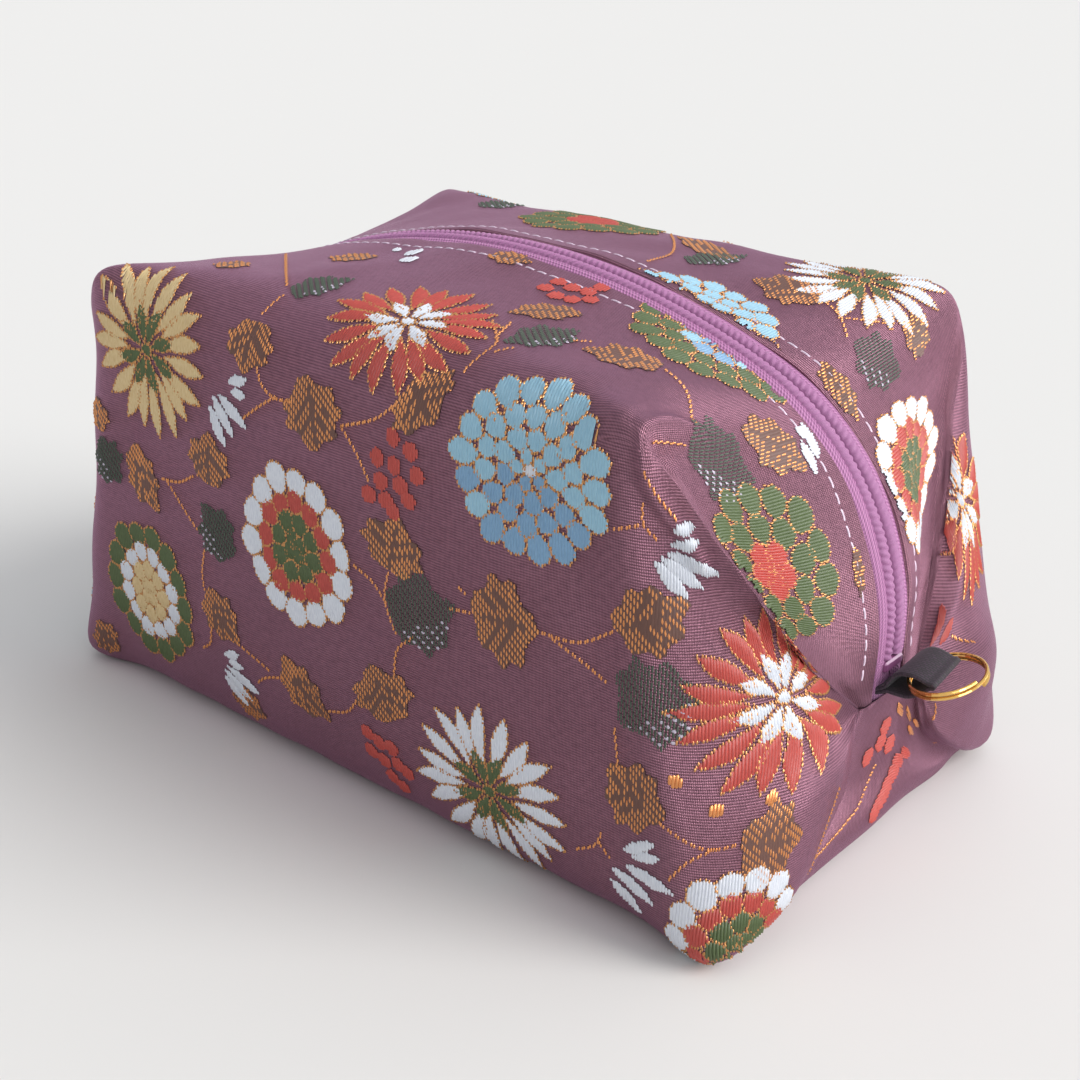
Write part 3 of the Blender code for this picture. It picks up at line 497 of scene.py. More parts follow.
flat_cloth = BVHTree.FromPolygons(flat_points.tolist(), laid_panes.tolist())
sewn_cloth = BVHTree.FromPolygons(skin_points.tolist(), panes.tolist())
cloth_width = float(cloth_v.max())
camera_turn = camera.rotation_euler.to_matrix()
focal_pixels, picture_middle = 1625.5, 540
pouch_middle = Vector((0.0, 0.0, 0.06))


def between(a, b, c, d, s, t):
    """The value inside a face, at shares s and t of the way between its corners' values."""
    return a * (1 - s) * (1 - t) + b * s * (1 - t) + c * s * t + d * (1 - s) * t


def cloth_under(x, y):
    """The place (u, v) on the flat cloth that is seen at a point of the 1080 by 1080 picture."""
    across, up = (x - picture_middle) / focal_pixels, (picture_middle - y) / focal_pixels
    ray = (camera_turn @ Vector((across, up, -1.0))).normalized()
    spot, _, face, _ = sewn_cloth.ray_cast(camera.location, ray)
    if spot is None:
        passing = camera.location + ray * (pouch_middle - camera.location).dot(ray)
        spot, _, face, _ = sewn_cloth.find_nearest(passing)
    a, b, _, d = skin_points[panes[face]]
    down, along, offset = b - a, d - a, np.array(spot) - a
    s = np.clip(offset @ down / max(down @ down, 1e-12), 0, 1)
    t = np.clip(offset @ along / max(along @ along, 1e-12), 0, 1)
    return between(*flat_points[panes[face]], s, t)[:2]


threads = {name: [] for name in ("white", "red", "pale_blue", "blue", "green", "cream", "leaf", "fleck", "copper",
                                 "gilt", "edge")}
stitched = []

# The front panel's edges on the flat cloth, where the ends begin, and the upper left patch whose
# figures only the front has.
ridge_v, crease_v = cloth_v[middle_row, ridge_step], cloth_v[middle_row, base_step]
ear_from, upper_left_to, upper_to = 0.062, -0.036, 0.075


def stitch(colour, u, start, end, width, lift):
    """One float of a thread, at u on the flat cloth and from start to end across it."""
    stitched.append((colour, u, start, end, width, lift))


def set_figure(place):
    """Keeps the floats made since the last figure. The back repeats the front panel's figures, but for
    those at its upper left, and the left end repeats the right end's."""
    copies = [lambda u, v: (u, v)]
    front_panel = ridge_v < place[1] < crease_v
    if front_panel and abs(place[0]) < ear_from and (place[0] > upper_left_to or place[1] > upper_to):
        copies.append(lambda u, v: (-u, cloth_width - v))
    elif place[0] > ear_from and not front_panel:
        copies.append(lambda u, v: (-u, v))
    for copy in copies:
        for colour, u, start, end, width, lift in stitched:
            new_u, first = copy(u, start)
            _, last = copy(u, end)
            threads[colour].append((new_u, min(first, last), max(first, last), width, lift))
    stitched.clear()


def spans_in(outline, u):
    """The stretches of a thread at u that lie inside a closed outline."""
    start, end = outline, np.roll(outline, -1, axis=0)
    crosses = (start[:, 0] <= u) != (end[:, 0] <= u)
    a, b = start[crosses], end[crosses]
    hits = np.sort(a[:, 1] + (u - a[:, 0]) / (b[:, 0] - a[:, 0]) * (b[:, 1] - a[:, 1]))
    return hits.reshape(-1, 2)


slow_raggedness, quick_raggedness = 0.00012, 0.00008


def ragged(index):
    """A small steady unevenness of a thread's end, from its number."""
    return slow_raggedness * math.sin(index * 2.4) + quick_raggedness * math.sin(index * 5.1 + 1.0)


# How far each kind of float stands up from the ground, the shortest ones, and how wide they are.
satin_lift, ring_lift, bud_lift, under_leaf_lift, twill_lift, edge_lift = (
    0.00022, 0.00003, 0.00026, 0.00006, 0.00024, 0.00027)
shortest_float, shortest_dash, vein_half = 0.0004, 0.0003, 0.00036
satin_width, twill_width, edge_width, edge_half_length, edge_zigzag = 1.02, 0.78, 0.00036, 0.0003, 0.00009


def satin_fill(colour, outline, lift=satin_lift):
    """Fills an outline with long floats side by side."""
    first, last = math.ceil(outline[:, 0].min() / thread), math.floor(outline[:, 0].max() / thread)
    for index in range(first, last + 1):
        for start, end in spans_in(outline, index * thread):
            if end - start > shortest_float:
                stitch(colour, index * thread, start + ragged(index), end + ragged(index * 3 + 7),
                       thread * satin_width, lift)


def twill_fill(colour, outline, veins, dash, gap, pitch):
    """Fills an outline with short staggered floats that let the ground show, but for its veins."""
    first, last = math.ceil(outline[:, 0].min() / pitch), math.floor(outline[:, 0].max() / pitch)
    for index in range(first, last + 1):
        u = index * pitch
        for start, end in spans_in(outline, u):
            shift = (index % 3) * (dash + gap) / 3
            v = math.floor(start / (dash + gap)) * (dash + gap) + shift
            while v < end:
                low, high = max(v, start), min(v + dash, end)
                middle = np.array([u, (low + high) / 2])
                clear = all(distance_to(middle, *vein) > vein_half for vein in veins)
                if high - low > shortest_dash and clear:
                    stitch(colour, u, low, high, pitch * twill_width, twill_lift)
                v += dash + gap


def distance_to(point, start, end):
    """How far a point is from a straight line between two others."""
    start, along = np.asarray(start), np.subtract(end, start)
    share = np.clip((point - start) @ along / (along @ along), 0, 1)
    return float(np.linalg.norm(point - start - along * share))


def edge_thread(colour, points, step=0.0007, closed=True):
    """A line of short gilt floats along a path."""
    path = np.vstack([points, points[:1]]) if closed else np.asarray(points)
    lengths = np.hstack([0, np.cumsum(np.linalg.norm(np.diff(path, axis=0), axis=1))])
    for index, length in enumerate(np.arange(0, lengths[-1], step)):
        u, v = np.interp(length, lengths, path[:, 0]), np.interp(length, lengths, path[:, 1])
        stitch(colour, u + edge_zigzag * (-1) ** index, v - edge_half_length, v + edge_half_length,
               edge_width, edge_lift)


round_petal = ((0.0, 0.05), (0.10, 0.45), (0.28, 0.80), (0.50, 1.0), (0.70, 0.98), (0.87, 0.70), (0.96, 0.35),
               (1.0, 0.0))
spiky_petal = ((0.0, 0.05), (0.18, 0.45), (0.40, 0.90), (0.58, 1.0), (0.76, 0.75), (0.90, 0.35), (1.0, 0.0))
outline_steps = 14
leaf_half = ((0.0, 0.0), (0.08, 0.35), (0.22, 0.75), (0.42, 1.0), (0.62, 0.95), (0.80, 0.65), (0.92, 0.30),
             (1.0, 0.0))


def blade(start, end, half_width, profile, bend=0.0):
    """A closed outline from start to end, whose half width follows a profile."""
    start, end = np.asarray(start, float), np.asarray(end, float)
    along = end - start
    across = np.array([-along[1], along[0]]) / np.linalg.norm(along)
    shares = np.linspace(0, 1, outline_steps + 1)
    widths = half_width * np.interp(shares, [s for s, _ in profile], [w for _, w in profile])
    spine = start + along * shares[:, None] + across * (bend * np.sin(math.pi * shares))[:, None]
    return np.vstack([spine + across * widths[:, None], (spine - across * widths[:, None])[-2:0:-1]])


petal_swirl, petal_unevenness, painted_lit_below, painted_lit_sway = 0.045, 0.04, 0.3, 0.5


def flower(place, radii, rings, turn=0.0):
    """Rings of petals, from the outside in: number, inner and outer share, half width, shape, colour.
    On a blue flower the upper petals, which point towards the cloth's front edge at the zip, and some
    beside them get the paler blue thread as a painted highlight; the rest keep the deeper blue."""
    for level, (count, near, far, half, profile, colour) in enumerate(rings):
        for index in range(count):
            angle = turn + wave * (index + 0.5 * (level % 2)) / count
            reach = far * (1 + petal_unevenness * math.sin(index * 2.3 + level))
            way = np.array([math.cos(angle), math.sin(angle)])
            swirl = petal_swirl * math.sin(index * 1.7) if profile is spiky_petal else 0.0
            outline = place + blade(way * near, way * reach, half, profile, swirl) * radii
            # The paler blue on the upper petals is a painted highlight, not a second thread colour.
            painted_lit_petal = colour == "blue" and way[1] < painted_lit_below + painted_lit_sway * math.sin(index * 2.1 + level)
            satin_fill("pale_blue" if painted_lit_petal else colour, outline, satin_lift + ring_lift * level)
            edge_thread("edge", outline)


def dahlia(outer, inner, heart):
    """Many narrow round petals in four rings round a heart."""
    return ((18, 0.64, 1.0, 0.145, round_petal, outer), (14, 0.42, 0.70, 0.125, round_petal, outer),
            (9, 0.20, 0.47, 0.12, round_petal, inner), (5, 0.05, 0.25, 0.08, round_petal, inner),
            (1, -0.09, 0.11, 0.07, round_petal, heart))


def peony(outer, inner):
    """Three rings of broad round petals."""
    return ((14, 0.62, 1.0, 0.18, round_petal, outer), (9, 0.32, 0.68, 0.17, round_petal, outer),
            (5, 0.0, 0.38, 0.16, round_petal, inner))


def rosette(outer, middle, inner):
    """Four rings of broad round petals in three colours."""
    return ((14, 0.62, 1.0, 0.19, round_petal, outer), (12, 0.40, 0.70, 0.15, round_petal, middle),
            (8, 0.17, 0.46, 0.135, round_petal, inner), (4, -0.02, 0.22, 0.11, round_petal, inner))


def chrysanthemum(outer, inner, heart):
    """Long pointed petals round a small heart."""
    return ((19, 0.30, 1.0, 0.098, spiky_petal, outer), (8, 0.08, 0.52, 0.085, spiky_petal, inner),
            (1, -0.08, 0.08, 0.07, round_petal, heart))


def middle_of(x, y, over=0.0):
    """The place of a figure's middle. The ones cut by the zip lie a little over the cloth's edge."""
    u, v = cloth_under(x, y)
    return np.array([u, (-over if v < cloth_width / 2 else cloth_width + over) if over else v])


red_chrysanthemum = chrysanthemum("red", "white", "white")
white_chrysanthemum = chrysanthemum("white", "green", "green")
cream_chrysanthemum = chrysanthemum("cream", "green", "green")
blue_dahlia, green_dahlia = dahlia("blue", "blue", "white"), dahlia("green", "blue", "white")
white_rosette, green_rosette = rosette("white", "red", "green"), rosette("green", "white", "cream")
green_peony = peony("green", "red")

# Picture points of the flowers' middles, some with how far they lie over the cloth's edge, then half
# sizes in mm along and across the zip, and turn.
flowers_in_picture = (
    (cream_chrysanthemum, (147, 350), (15.0, 15.0), 0.1),
    (red_chrysanthemum, (408, 322), (15.0, 12.5), 0.2),
    (blue_dahlia, (530, 470), (14.2, 13.4), 0.0),
    (white_rosette, (296, 548), (13.0, 14.0), 0.3),
    (green_rosette, (151, 592), (12.8, 13.6), 0.0),
    (white_chrysanthemum, (489, 790), (15.0, 14.6), 0.0),
    (red_chrysanthemum, (783, 697), (18.5, 13.4), 0.15),
    (green_peony, (772, 574), (15.0, 13.0), 0.0),
    (white_rosette, (739, 946), (12.4, 12.4), 0.0),
    (red_chrysanthemum, (960, 500), (14.0, 15.0), 0.2),
    (white_rosette, (912, 470), (12.0, 14.0), 0.0),
    (green_peony, (594, 222), (14.0, 13.0), 0.0),
    (white_chrysanthemum, (868, 268), (14.0, 13.0), 0.0),
    (green_dahlia, (702, 350, 0.0012), (14.5, 13.5), 0.2),
    (blue_dahlia, (725, 300, 0.0020), (14.0, 11.0), 0.2))
for kind, point, radii, turn in flowers_in_picture:
    place = middle_of(*point)
    flower(place, np.array(radii) / 1000, kind, turn)
    set_figure(place)


vine_step = 0.00062


def vine(pixels):
    """A gilt stem through points of the picture."""
    points = [cloth_under(x, y) for x, y in pixels]
    flat = smooth_line(points, (8,) * (len(points) - 1)) if len(points) > 2 else np.array(points)
    edge_thread("gilt", flat, vine_step, closed=False)
    set_figure(points[len(points) // 2])


lobe_count, lobe_depth, leaf_swell = 7, 0.13, 1.02
midrib_from, midrib_to, vein_shares, vein_reach, veined_from = 0.16, 0.86, ((0.30, 0.58), (0.52, 0.80)), 0.72, 3.9
gilt_twill, dark_twill, fleck_twill = (0.0010, 0.00026, 0.00052), (0.0011, 0.00015, 0.00050), (0.0005, 0.0012, 0.00095)


def leaf(base, tip, half_width, colour="gilt"):
    """A lobed leaf between two points of the picture. A gilt one has veins and a brown ground, and a
    dark one is close-set and flecked with light ends on one half."""
    start, end = cloth_under(*base), cloth_under(*tip)
    outline = blade(start, end, half_width / 1000, leaf_half)
    across = np.array([-(end - start)[1], (end - start)[0]])
    lower = outline[((outline - start) @ across) > 0]
    middle = (start + end) / 2
    lobes = leaf_swell + lobe_depth * np.sin(wave * lobe_count * np.arange(len(outline)) / len(outline) + base[0])
    outline = middle + (outline - middle) * lobes[:, None]
    if colour == "gilt":
        side = across / np.linalg.norm(across) * half_width / 1000 * vein_reach
        veins = [(start + (end - start) * midrib_from, start + (end - start) * midrib_to)]
        if half_width > veined_from:
            veins += [(start + (end - start) * low, start + (end - start) * high + side * way)
                      for low, high in vein_shares for way in (-1, 1)]
        satin_fill("copper", outline, under_leaf_lift)
        twill_fill("gilt", outline, veins, *gilt_twill)
    else:
        twill_fill("leaf", outline, (), *dark_twill)
        if len(lower) > 3:
            twill_fill("fleck", lower, (), *fleck_twill)
    set_figure((start + end) / 2)


# Picture points of each leaf's base and tip, and its half width in mm.
gilt_leaves_in_picture = (
    ((262, 320), (243, 371), 5.2), ((308, 376), (318, 451), 6.0), ((412, 380), (432, 424), 6.5),
    ((130, 443), (158, 511), 4.2), ((209, 435), (209, 487), 5.0), ((205, 590), (238, 644), 4.2),
    ((280, 658), (329, 720), 4.2), ((372, 667), (394, 724), 6.5), ((535, 631), (470, 612), 7.0),
    ((613, 628), (688, 604), 4.8), ((660, 822), (606, 770), 5.6), ((739, 845), (800, 838), 6.0),
    ((388, 573), (398, 520), 6.0), ((665, 368), (586, 350), 4.6), ((582, 312), (510, 312), 3.2),
    ((530, 262), (488, 255), 2.4), ((741, 425), (806, 466), 4.5), ((608, 905), (646, 935), 4.0),
    ((232, 690), (266, 716), 3.6), ((240, 262), (222, 252), 3.0), ((680, 238), (738, 240), 2.8),
    ((821, 300), (756, 280), 5.0), ((902, 330), (930, 338), 4.0), ((820, 362), (856, 420), 2.6),
    ((97, 398), (101, 432), 3.6), ((97, 622), (120, 652), 4.0),
    ((376, 258), (330, 258), 3.0), ((854, 545), (861, 598), 1.2))
dark_leaves_in_picture = (
    ((287, 295), (352, 280), 4.0), ((203, 506), (232, 562), 5.4), ((388, 618), (452, 606), 6.5),
    ((506, 344), (580, 332), 4.0), ((684, 444), (752, 480), 7.0), ((616, 712), (694, 682), 6.5),
    ((684, 262), (744, 256), 3.4), ((852, 348), (900, 376), 6.0), ((476, 206), (522, 206), 3.6),
    ((98, 440), (120, 482), 5.0))
for base, tip, half_width in gilt_leaves_in_picture:
    leaf(base, tip, half_width)
for base, tip, half_width in dark_leaves_in_picture:
    leaf(base, tip, half_width, "leaf")

# Picture points that each gilt stem runs through.
vines_in_picture = (
    ((286, 255), (287, 287)), ((283, 296), (262, 315)), ((257, 368), (262, 385), (273, 397), (292, 402)),
    ((244, 418), (260, 406), (276, 397)), ((341, 426), (377, 418), (398, 402)),
    ((341, 426), (356, 452), (369, 481)), ((163, 479), (179, 482), (195, 476)), ((168, 482), (198, 530)),
    ((642, 502), (642, 522), (657, 539)), ((640, 522), (613, 529)), ((542, 632), (579, 642), (613, 631)),
    ((552, 638), (573, 654), (606, 682)), ((205, 551), (203, 573), (205, 590)), ((238, 643), (271, 672)),
    ((212, 630), (211, 643), (203, 648)), ((259, 682), (266, 678), (285, 678)),
    ((329, 711), (348, 711), (358, 699)), ((394, 674), (397, 650), (414, 636)),
    ((388, 573), (385, 597), (397, 636)), ((354, 565), (373, 582), (387, 604)),
    ((660, 824), (706, 850), (739, 845)), ((668, 878), (688, 862), (714, 850)),
    ((576, 847), (594, 844), (601, 832)), ((599, 842), (609, 857)), ((492, 321), (495, 345), (463, 373)),
    ((495, 338), (512, 322)), ((495, 352), (515, 348)), ((573, 341), (594, 342)),
    ((665, 370), (686, 391), (697, 425)), ((650, 453), (684, 447)), ((642, 470), (655, 495), (674, 514)),
    ((671, 235), (672, 253), (647, 262)), ((821, 299), (839, 315), (848, 339)), ((839, 318), (888, 324)),
    ((838, 789), (852, 815), (864, 790), (876, 762)), ((935, 705), (932, 742)), ((952, 636), (975, 642)),
    ((450, 608), (470, 612)), ((459, 587), (466, 594)), ((509, 592), (514, 600)), ((614, 728), (618, 770)))
for points in vines_in_picture:
    vine(points)


short_petal_half, long_petal_half = 0.95, 1.15


def bud(short, longs):
    """A white bellflower bud: pointed petals side by side, each from one picture point to another."""
    for (start, end), half_width in ([(pair, short_petal_half) for pair in short]
                                     + [(pair, long_petal_half) for pair in longs]):
        first, last = cloth_under(*start), cloth_under(*end)
        satin_fill("white", blade(first, last, half_width / 1000, leaf_half), bud_lift)
    set_figure(cloth_under(*longs[0][0]))


# Picture points of each bud's short petals, and of its long ones.
buds_in_picture = (
    ([((228, 382), (248, 380)), ((231, 392), (246, 396))],
     [((218, 393), (248, 430)), ((213, 395), (235, 439)), ((210, 404), (226, 448))]),
    ([((225, 655), (240, 655)), ((228, 660), (245, 669))],
     [((227, 665), (262, 696)), ((225, 668), (254, 702)), ((225, 674), (250, 706))]),
    ([((669, 525), (693, 522)), ((669, 542), (700, 537))],
     [((662, 548), (718, 572)), ((657, 552), (701, 586)), ((650, 558), (688, 598))]),
    ([((622, 849), (655, 842)), ((630, 855), (659, 857))],
     [((622, 862), (675, 895)), ((609, 865), (655, 905)), ((609, 877), (642, 913))]),
    ([((798, 426), (803, 440))], [((801, 422), (812, 450)), ((804, 426), (818, 462)), ((800, 440), (816, 476))]),
    ([((392, 252), (402, 249))], [((404, 256), (424, 250)), ((398, 262), (420, 258))]))
for short, longs in buds_in_picture:
    bud(short, longs)


berry_corners = 12


def berries(pixels, colour, size):
    """A spray of round berries, at points of the picture."""
    angles = np.linspace(0, wave, berry_corners + 1)[:-1]
    for x, y in pixels:
        place = cloth_under(x, y)
        satin_fill(colour, place + np.stack([np.cos(angles), np.sin(angles)], axis=1) * size / 1000)
    set_figure(place)


# Picture points of each spray's berries, their colour and half size in mm.
berries_in_picture = (
    (((393, 437), (377, 457), (410, 451), (394, 465), (381, 481), (369, 494), (400, 485), (417, 476), (386, 500),
      (408, 500), (393, 511)), "red", 1.5),
    (((368, 732), (380, 742), (372, 750), (392, 748), (385, 760), (398, 764), (393, 776), (407, 772), (404, 786)),
     "red", 1.5),
    (((545, 288), (558, 282), (556, 296), (572, 288), (588, 292), (572, 300), (602, 288), (590, 300)), "red", 1.4),
    (((867, 757), (885, 726), (889, 744), (880, 742), (905, 752)), "red", 1.6),
    (((930, 785), (920, 798), (938, 775), (910, 812), (928, 808), (944, 792), (900, 824)), "red", 1.7),
    (((941, 618), (946, 630), (936, 632)), "red", 1.8),
    (((900, 708), (908, 714), (916, 722), (910, 730)), "gilt", 1.2),
    (((673, 781), (716, 811), (772, 798)), "gilt", 1.1))
for pixels, colour, size in berries_in_picture:
    berries(pixels, colour, size)


# The base and the left ears aren't seen. They have the same kinds of figures, set out plainly: kind,
# u, v and half size on the flat cloth.
base_middle = cloth_width / 2
pale_dahlia = dahlia("pale_blue", "pale_blue", "white")
for kind, u, v, radius in ((red_chrysanthemum, -0.098, ridge_v + 0.036, 0.0140),
                           (red_chrysanthemum, -0.098, cloth_width - ridge_v - 0.036, 0.0140),
                           (pale_dahlia, -0.089, 0.099, 0.0135), (pale_dahlia, -0.089, cloth_width - 0.093, 0.0135)):
    flower(np.array([u, v]), radius, kind)
    set_figure((0.0, 0.0))
for start, end in (((-0.074, 0.050), (-0.082, 0.039)), ((-0.070, 0.085), (-0.078, 0.078))):
    twill_fill("gilt", blade(start, end, 0.0045, leaf_half), [(start, end)], *gilt_twill)
    set_figure((0.0, 0.0))
for kind, u, v in ((white_rosette, -0.045, 0.008), (red_chrysanthemum, 0.012, -0.012),
                   (blue_dahlia, 0.052, 0.014), (cream_chrysanthemum, -0.012, 0.024)):
    flower(np.array([u, base_middle + v]), 0.0140, kind)
    set_figure((0.0, base_middle))

# How a float tapers into the ground at its ends, how far apart its sections are, and where the
# cloth under it ends.
end_taper, section_gap, short_float = 0.00022, 0.0014, 0.0012
end_share, end_narrowing = 0.15, 0.55
off_cloth, longest_step, above_skin = 0.0003, 0.0032, 0.00010


def woven_piece(colour, material):
    """One mesh of all the threads of a colour, each a low rounded bar laid on the cloth."""
    sections, owner = [], []
    for index, (u, start, end, width, lift) in enumerate(threads[colour]):
        taper = min(end_taper, (end - start) * 0.3)
        steps = np.linspace(start + taper, end - taper, max(2, int((end - start) / section_gap) + 1))
        if end - start < short_float:
            steps = [(start + end) / 2]
        for v, share in [(start, end_share)] + [(v, 1.0) for v in steps] + [(end, end_share)]:
            sections.append((u, v, width / 2 * (0.45 + end_narrowing * share), lift * share))
            owner.append(index)
    sections, owner = np.array(sections), np.array(owner)
    found = [flat_cloth.find_nearest((u, v, 0.0)) for u, v in sections[:, :2]]
    face = np.array([hit[2] for hit in found])
    on_cloth = np.array([hit[3] for hit in found]) < off_cloth
    corner = laid_panes[face]
    origin, down, along = (flat_points[corner[:, c], :2] for c in (0, 1, 3))
    down, along, offset = down - origin, along - origin, sections[:, :2] - origin
    scale = down[:, 0] * along[:, 1] - down[:, 1] * along[:, 0]
    scale = np.where(np.abs(scale) < 1e-14, 1e-14, scale)
    s = np.clip((offset[:, 0] * along[:, 1] - offset[:, 1] * along[:, 0]) / scale, 0, 1)[:, None]
    t = np.clip((down[:, 0] * offset[:, 1] - down[:, 1] * offset[:, 0]) / scale, 0, 1)[:, None]
    a, b, c, d = (skin_points[corner[:, index]] for index in range(4))
    centre = between(a, b, c, d, s, t)
    outward = unit(between(*(skin_outward[corner[:, index]] for index in range(4)), s, t))
    across = unit((d - a) * (1 - s) + (c - b) * s)
    half, lift = sections[:, 2:3], sections[:, 3:4]
    points = np.stack([centre - across * half, centre + outward * lift, centre + across * half], axis=1)
    points += outward[:, None, :] * above_skin
    points[:, :, 2] = np.maximum(points[:, :, 2], 0.0)
    joined = (owner[:-1] == owner[1:]) & on_cloth[:-1] & on_cloth[1:]
    joined &= np.linalg.norm(centre[1:] - centre[:-1], axis=1) < longest_step
    first = np.nonzero(joined)[0][:, None] * 3
    faces = np.vstack([first + (0, 1, 4, 3), first + (1, 2, 5, 4)])
    used = np.unique(faces)
    renumbered = np.zeros(len(points) * 3, int)
    renumbered[used] = np.arange(len(used))
    beside = np.tile((-1, 0, 1), len(sections)) * np.repeat(sections[:, 2], 3)
    place = np.stack([np.repeat(sections[:, 0], 3) + beside, np.repeat(sections[:, 1], 3)], axis=1)
    return add_piece("figures_" + colour, points.reshape(-1, 3)[used], renumbered[faces], material, "bag",
                     place[used])


# Figure threads: bright spun rayon, and paper thread wound with gilt foil, which shines like a dull
# metal. Each float has a soft shine along it and a grain of fine fibres, 0.1 mm across.
fibres_per_metre = (9000.0, 900.0, 1.0)


def thread_material(name, dull, bright, roughness, metallic=0.0, sheen=0.35):
    """A thread's material, between a dull and a bright tone of its colour."""
    made, shader = new_material(name, bright, roughness, metallic)
    where = add_node(made, "UVMap", uv_map="cloth")
    stretched = add_node(made, "Mapping", {"Vector": where.outputs["UV"], "Scale": fibres_per_metre})
    fibres = add_node(made, "TexNoise", {"Vector": stretched.outputs[0], "Scale": 1.0, "Detail": 2.0})
    tones = add_node(made, "Mix", {0: fibres.outputs["Fac"], 6: linear(dull), 7: linear(bright)}, data_type="RGBA")
    grooves = add_node(made, "Bump", {"Height": fibres.outputs["Fac"], "Strength": 0.4, "Distance": 0.00008})
    set_inputs(made, shader, {"Base Color": tones.outputs[2], "Normal": grooves.outputs["Normal"],
                              "Sheen Weight": sheen, "Sheen Tint": linear(bright), "Sheen Roughness": 0.4})
    return made


figure_threads = {
    "white": thread_material("white_rayon_thread", "#c9cfdc", "#f4f7fc", 0.38),
    "red": thread_material("red_rayon_thread", "#a0332c", "#d2574c", 0.42),
    # Pale blue is the hidden pale flowers' own thread and, on the blue flowers' upper petals, a painted highlight of
    # the blue.
    "pale_blue": thread_material("pale_blue_rayon_and_painted_highlight", "#7fb0cc", "#b2dae9", 0.38),
    "blue": thread_material("blue_rayon_thread", "#6990b6", "#93bddb", 0.38),
    "green": thread_material("moss_rayon_thread", "#3c4a26", "#5f7145", 0.45),
    "cream": thread_material("cream_rayon_thread", "#cba96f", "#f0dcae", 0.40),
    "leaf": thread_material("dark_leaf_rayon_thread", "#2f3830", "#4f5c4b", 0.48),
    "fleck": thread_material("lilac_fleck_thread", "#a99db2", "#ddd3e2", 0.42),
    "copper": thread_material("copper_brown_thread", "#54362e", "#6f4638", 0.50),
    "gilt": thread_material("gilt_foil_thread", "#bb7244", "#f2a868", 0.28, 0.60, 0.1),
    "edge": thread_material("gilt_edging_thread", "#a86e46", "#dfa668", 0.28, 0.60, 0.1),
}
figures = [woven_piece(colour, material) for colour, material in figure_threads.items()]


# Topstitch: a lilac polyester thread, in machine stitches of 2.5 mm, 3 mm from the folded edges. Each
# stitch sinks into the cloth at its ends.
def lane(row_points, row_normals, row_lengths, offset):
    """A line on the skin at a distance from the zip's edge, with its outward directions."""
    spots, ways = [], []
    for points, outward, lengths in zip(row_points, row_normals, row_lengths):
        spots.append([np.interp(offset, lengths, points[:, axis]) for axis in range(3)])
        ways.append([np.interp(offset, lengths, outward[:, axis]) for axis in range(3)])
    return np.array(spots), unit(np.array(ways))


def along_lane(spots, ways, lengths):
    """Points and outward directions at given lengths along a line."""
    run = np.hstack([0, np.cumsum(np.linalg.norm(np.diff(spots, axis=0), axis=1))])
    made = [np.stack([np.interp(lengths, run, values[:, axis]) for axis in range(3)], axis=1)
            for values in (spots, ways)]
    return made[0], unit(made[1])


stitch_pitch, stitch_length, stitch_half, stitch_inset, look_ahead = 0.0025, 0.0021, 0.00017, 0.0030, 0.0002
stitch_shape = ((-1.0, 0.0), (-0.75, 0.7), (0.0, 1.0), (0.75, 0.7), (1.0, 0.0))
stitch_rises = (-0.6, 0.5, 0.9, 1.0, 0.9, 0.5, -0.6)
lilac_thread, lilac_shader = new_material("lilac_polyester_thread", "#e4cfe2", 0.5)
twist = add_node(lilac_thread, "TexNoise", {"Scale": 6000.0})
twist_bump = add_node(lilac_thread, "Bump", {"Height": twist.outputs["Fac"], "Strength": 0.3, "Distance": 0.00005})
set_inputs(lilac_thread, lilac_shader, {"Sheen Weight": 0.3, "Normal": twist_bump.outputs["Normal"]})


def topstitch(name, spots, ways):
    """A row of stitches along a line on the cloth."""
    total = float(np.sum(np.linalg.norm(np.diff(spots, axis=0), axis=1)))
    starts = np.arange(stitch_pitch, total - 2 * stitch_pitch, stitch_pitch)
    lengths = (starts[:, None] + np.linspace(0, stitch_length, len(stitch_rises))).ravel()
    centre, outward = along_lane(spots, ways, lengths)
    ahead, _ = along_lane(spots, ways, lengths + look_ahead)
    across = unit(np.cross(ahead - centre, outward))
    rise = np.tile(stitch_rises, len(starts))[:, None] * stitch_half
    rings = [centre + across * y * stitch_half + outward * (rise * z) for y, z in stitch_shape]
    points = np.stack(rings, axis=1)
    grid = skin_faces(len(lengths), len(stitch_shape)).reshape(len(lengths) - 1, -1)
    faces = grid[np.arange(1, len(lengths)) % len(stitch_rises) > 0].reshape(-1, 4)
    return add_piece(name, points.reshape(-1, 3), faces, lilac_thread, "bag")


for name, half, from_edge in (("front_topstitch", slice(0, middle_column), cloth_v),
                              ("back_topstitch", slice(None, middle_column, -1), cloth_width - cloth_v)):
    topstitch(name, *lane(skin[:, half], normals[:, half], from_edge[:, half], stitch_inset))


# Lining: plain plum polyester cloth, matt and fine. It is sewn in under the tapes and folded at the
# ends as the outside is.
lining_inset, lining_lap = 0.0030, 0.0068
lining_rows, lining_columns = (6, 6, 4, 5, 5, 5), (3, 3, 3, 2, 3, 4, 4, 4, 3, 2, 3, 3, 3, 2)
lining_front = quarter_skin(-1, lining_lap, lining_inset, 0.0, lining_rows, lining_columns)
lining_back = quarter_skin(1, lining_lap, lining_inset, 0.0, lining_rows, lining_columns)
lining_right = np.concatenate([lining_front, lining_back[:, -2::-1]], axis=1)
lining_skin = np.concatenate([lining_right[:0:-1] * (-1, 1, 1), lining_right], axis=0)
plain_lining, lining_shader = new_material("plain_plum_polyester", "#77607a", 0.75)
plain_weave = add_node(plain_lining, "TexNoise", {"Scale": 2500.0})
weave_bump = add_node(plain_lining, "Bump", {"Height": plain_weave.outputs["Fac"], "Strength": 0.3,
                                             "Distance": 0.00005})
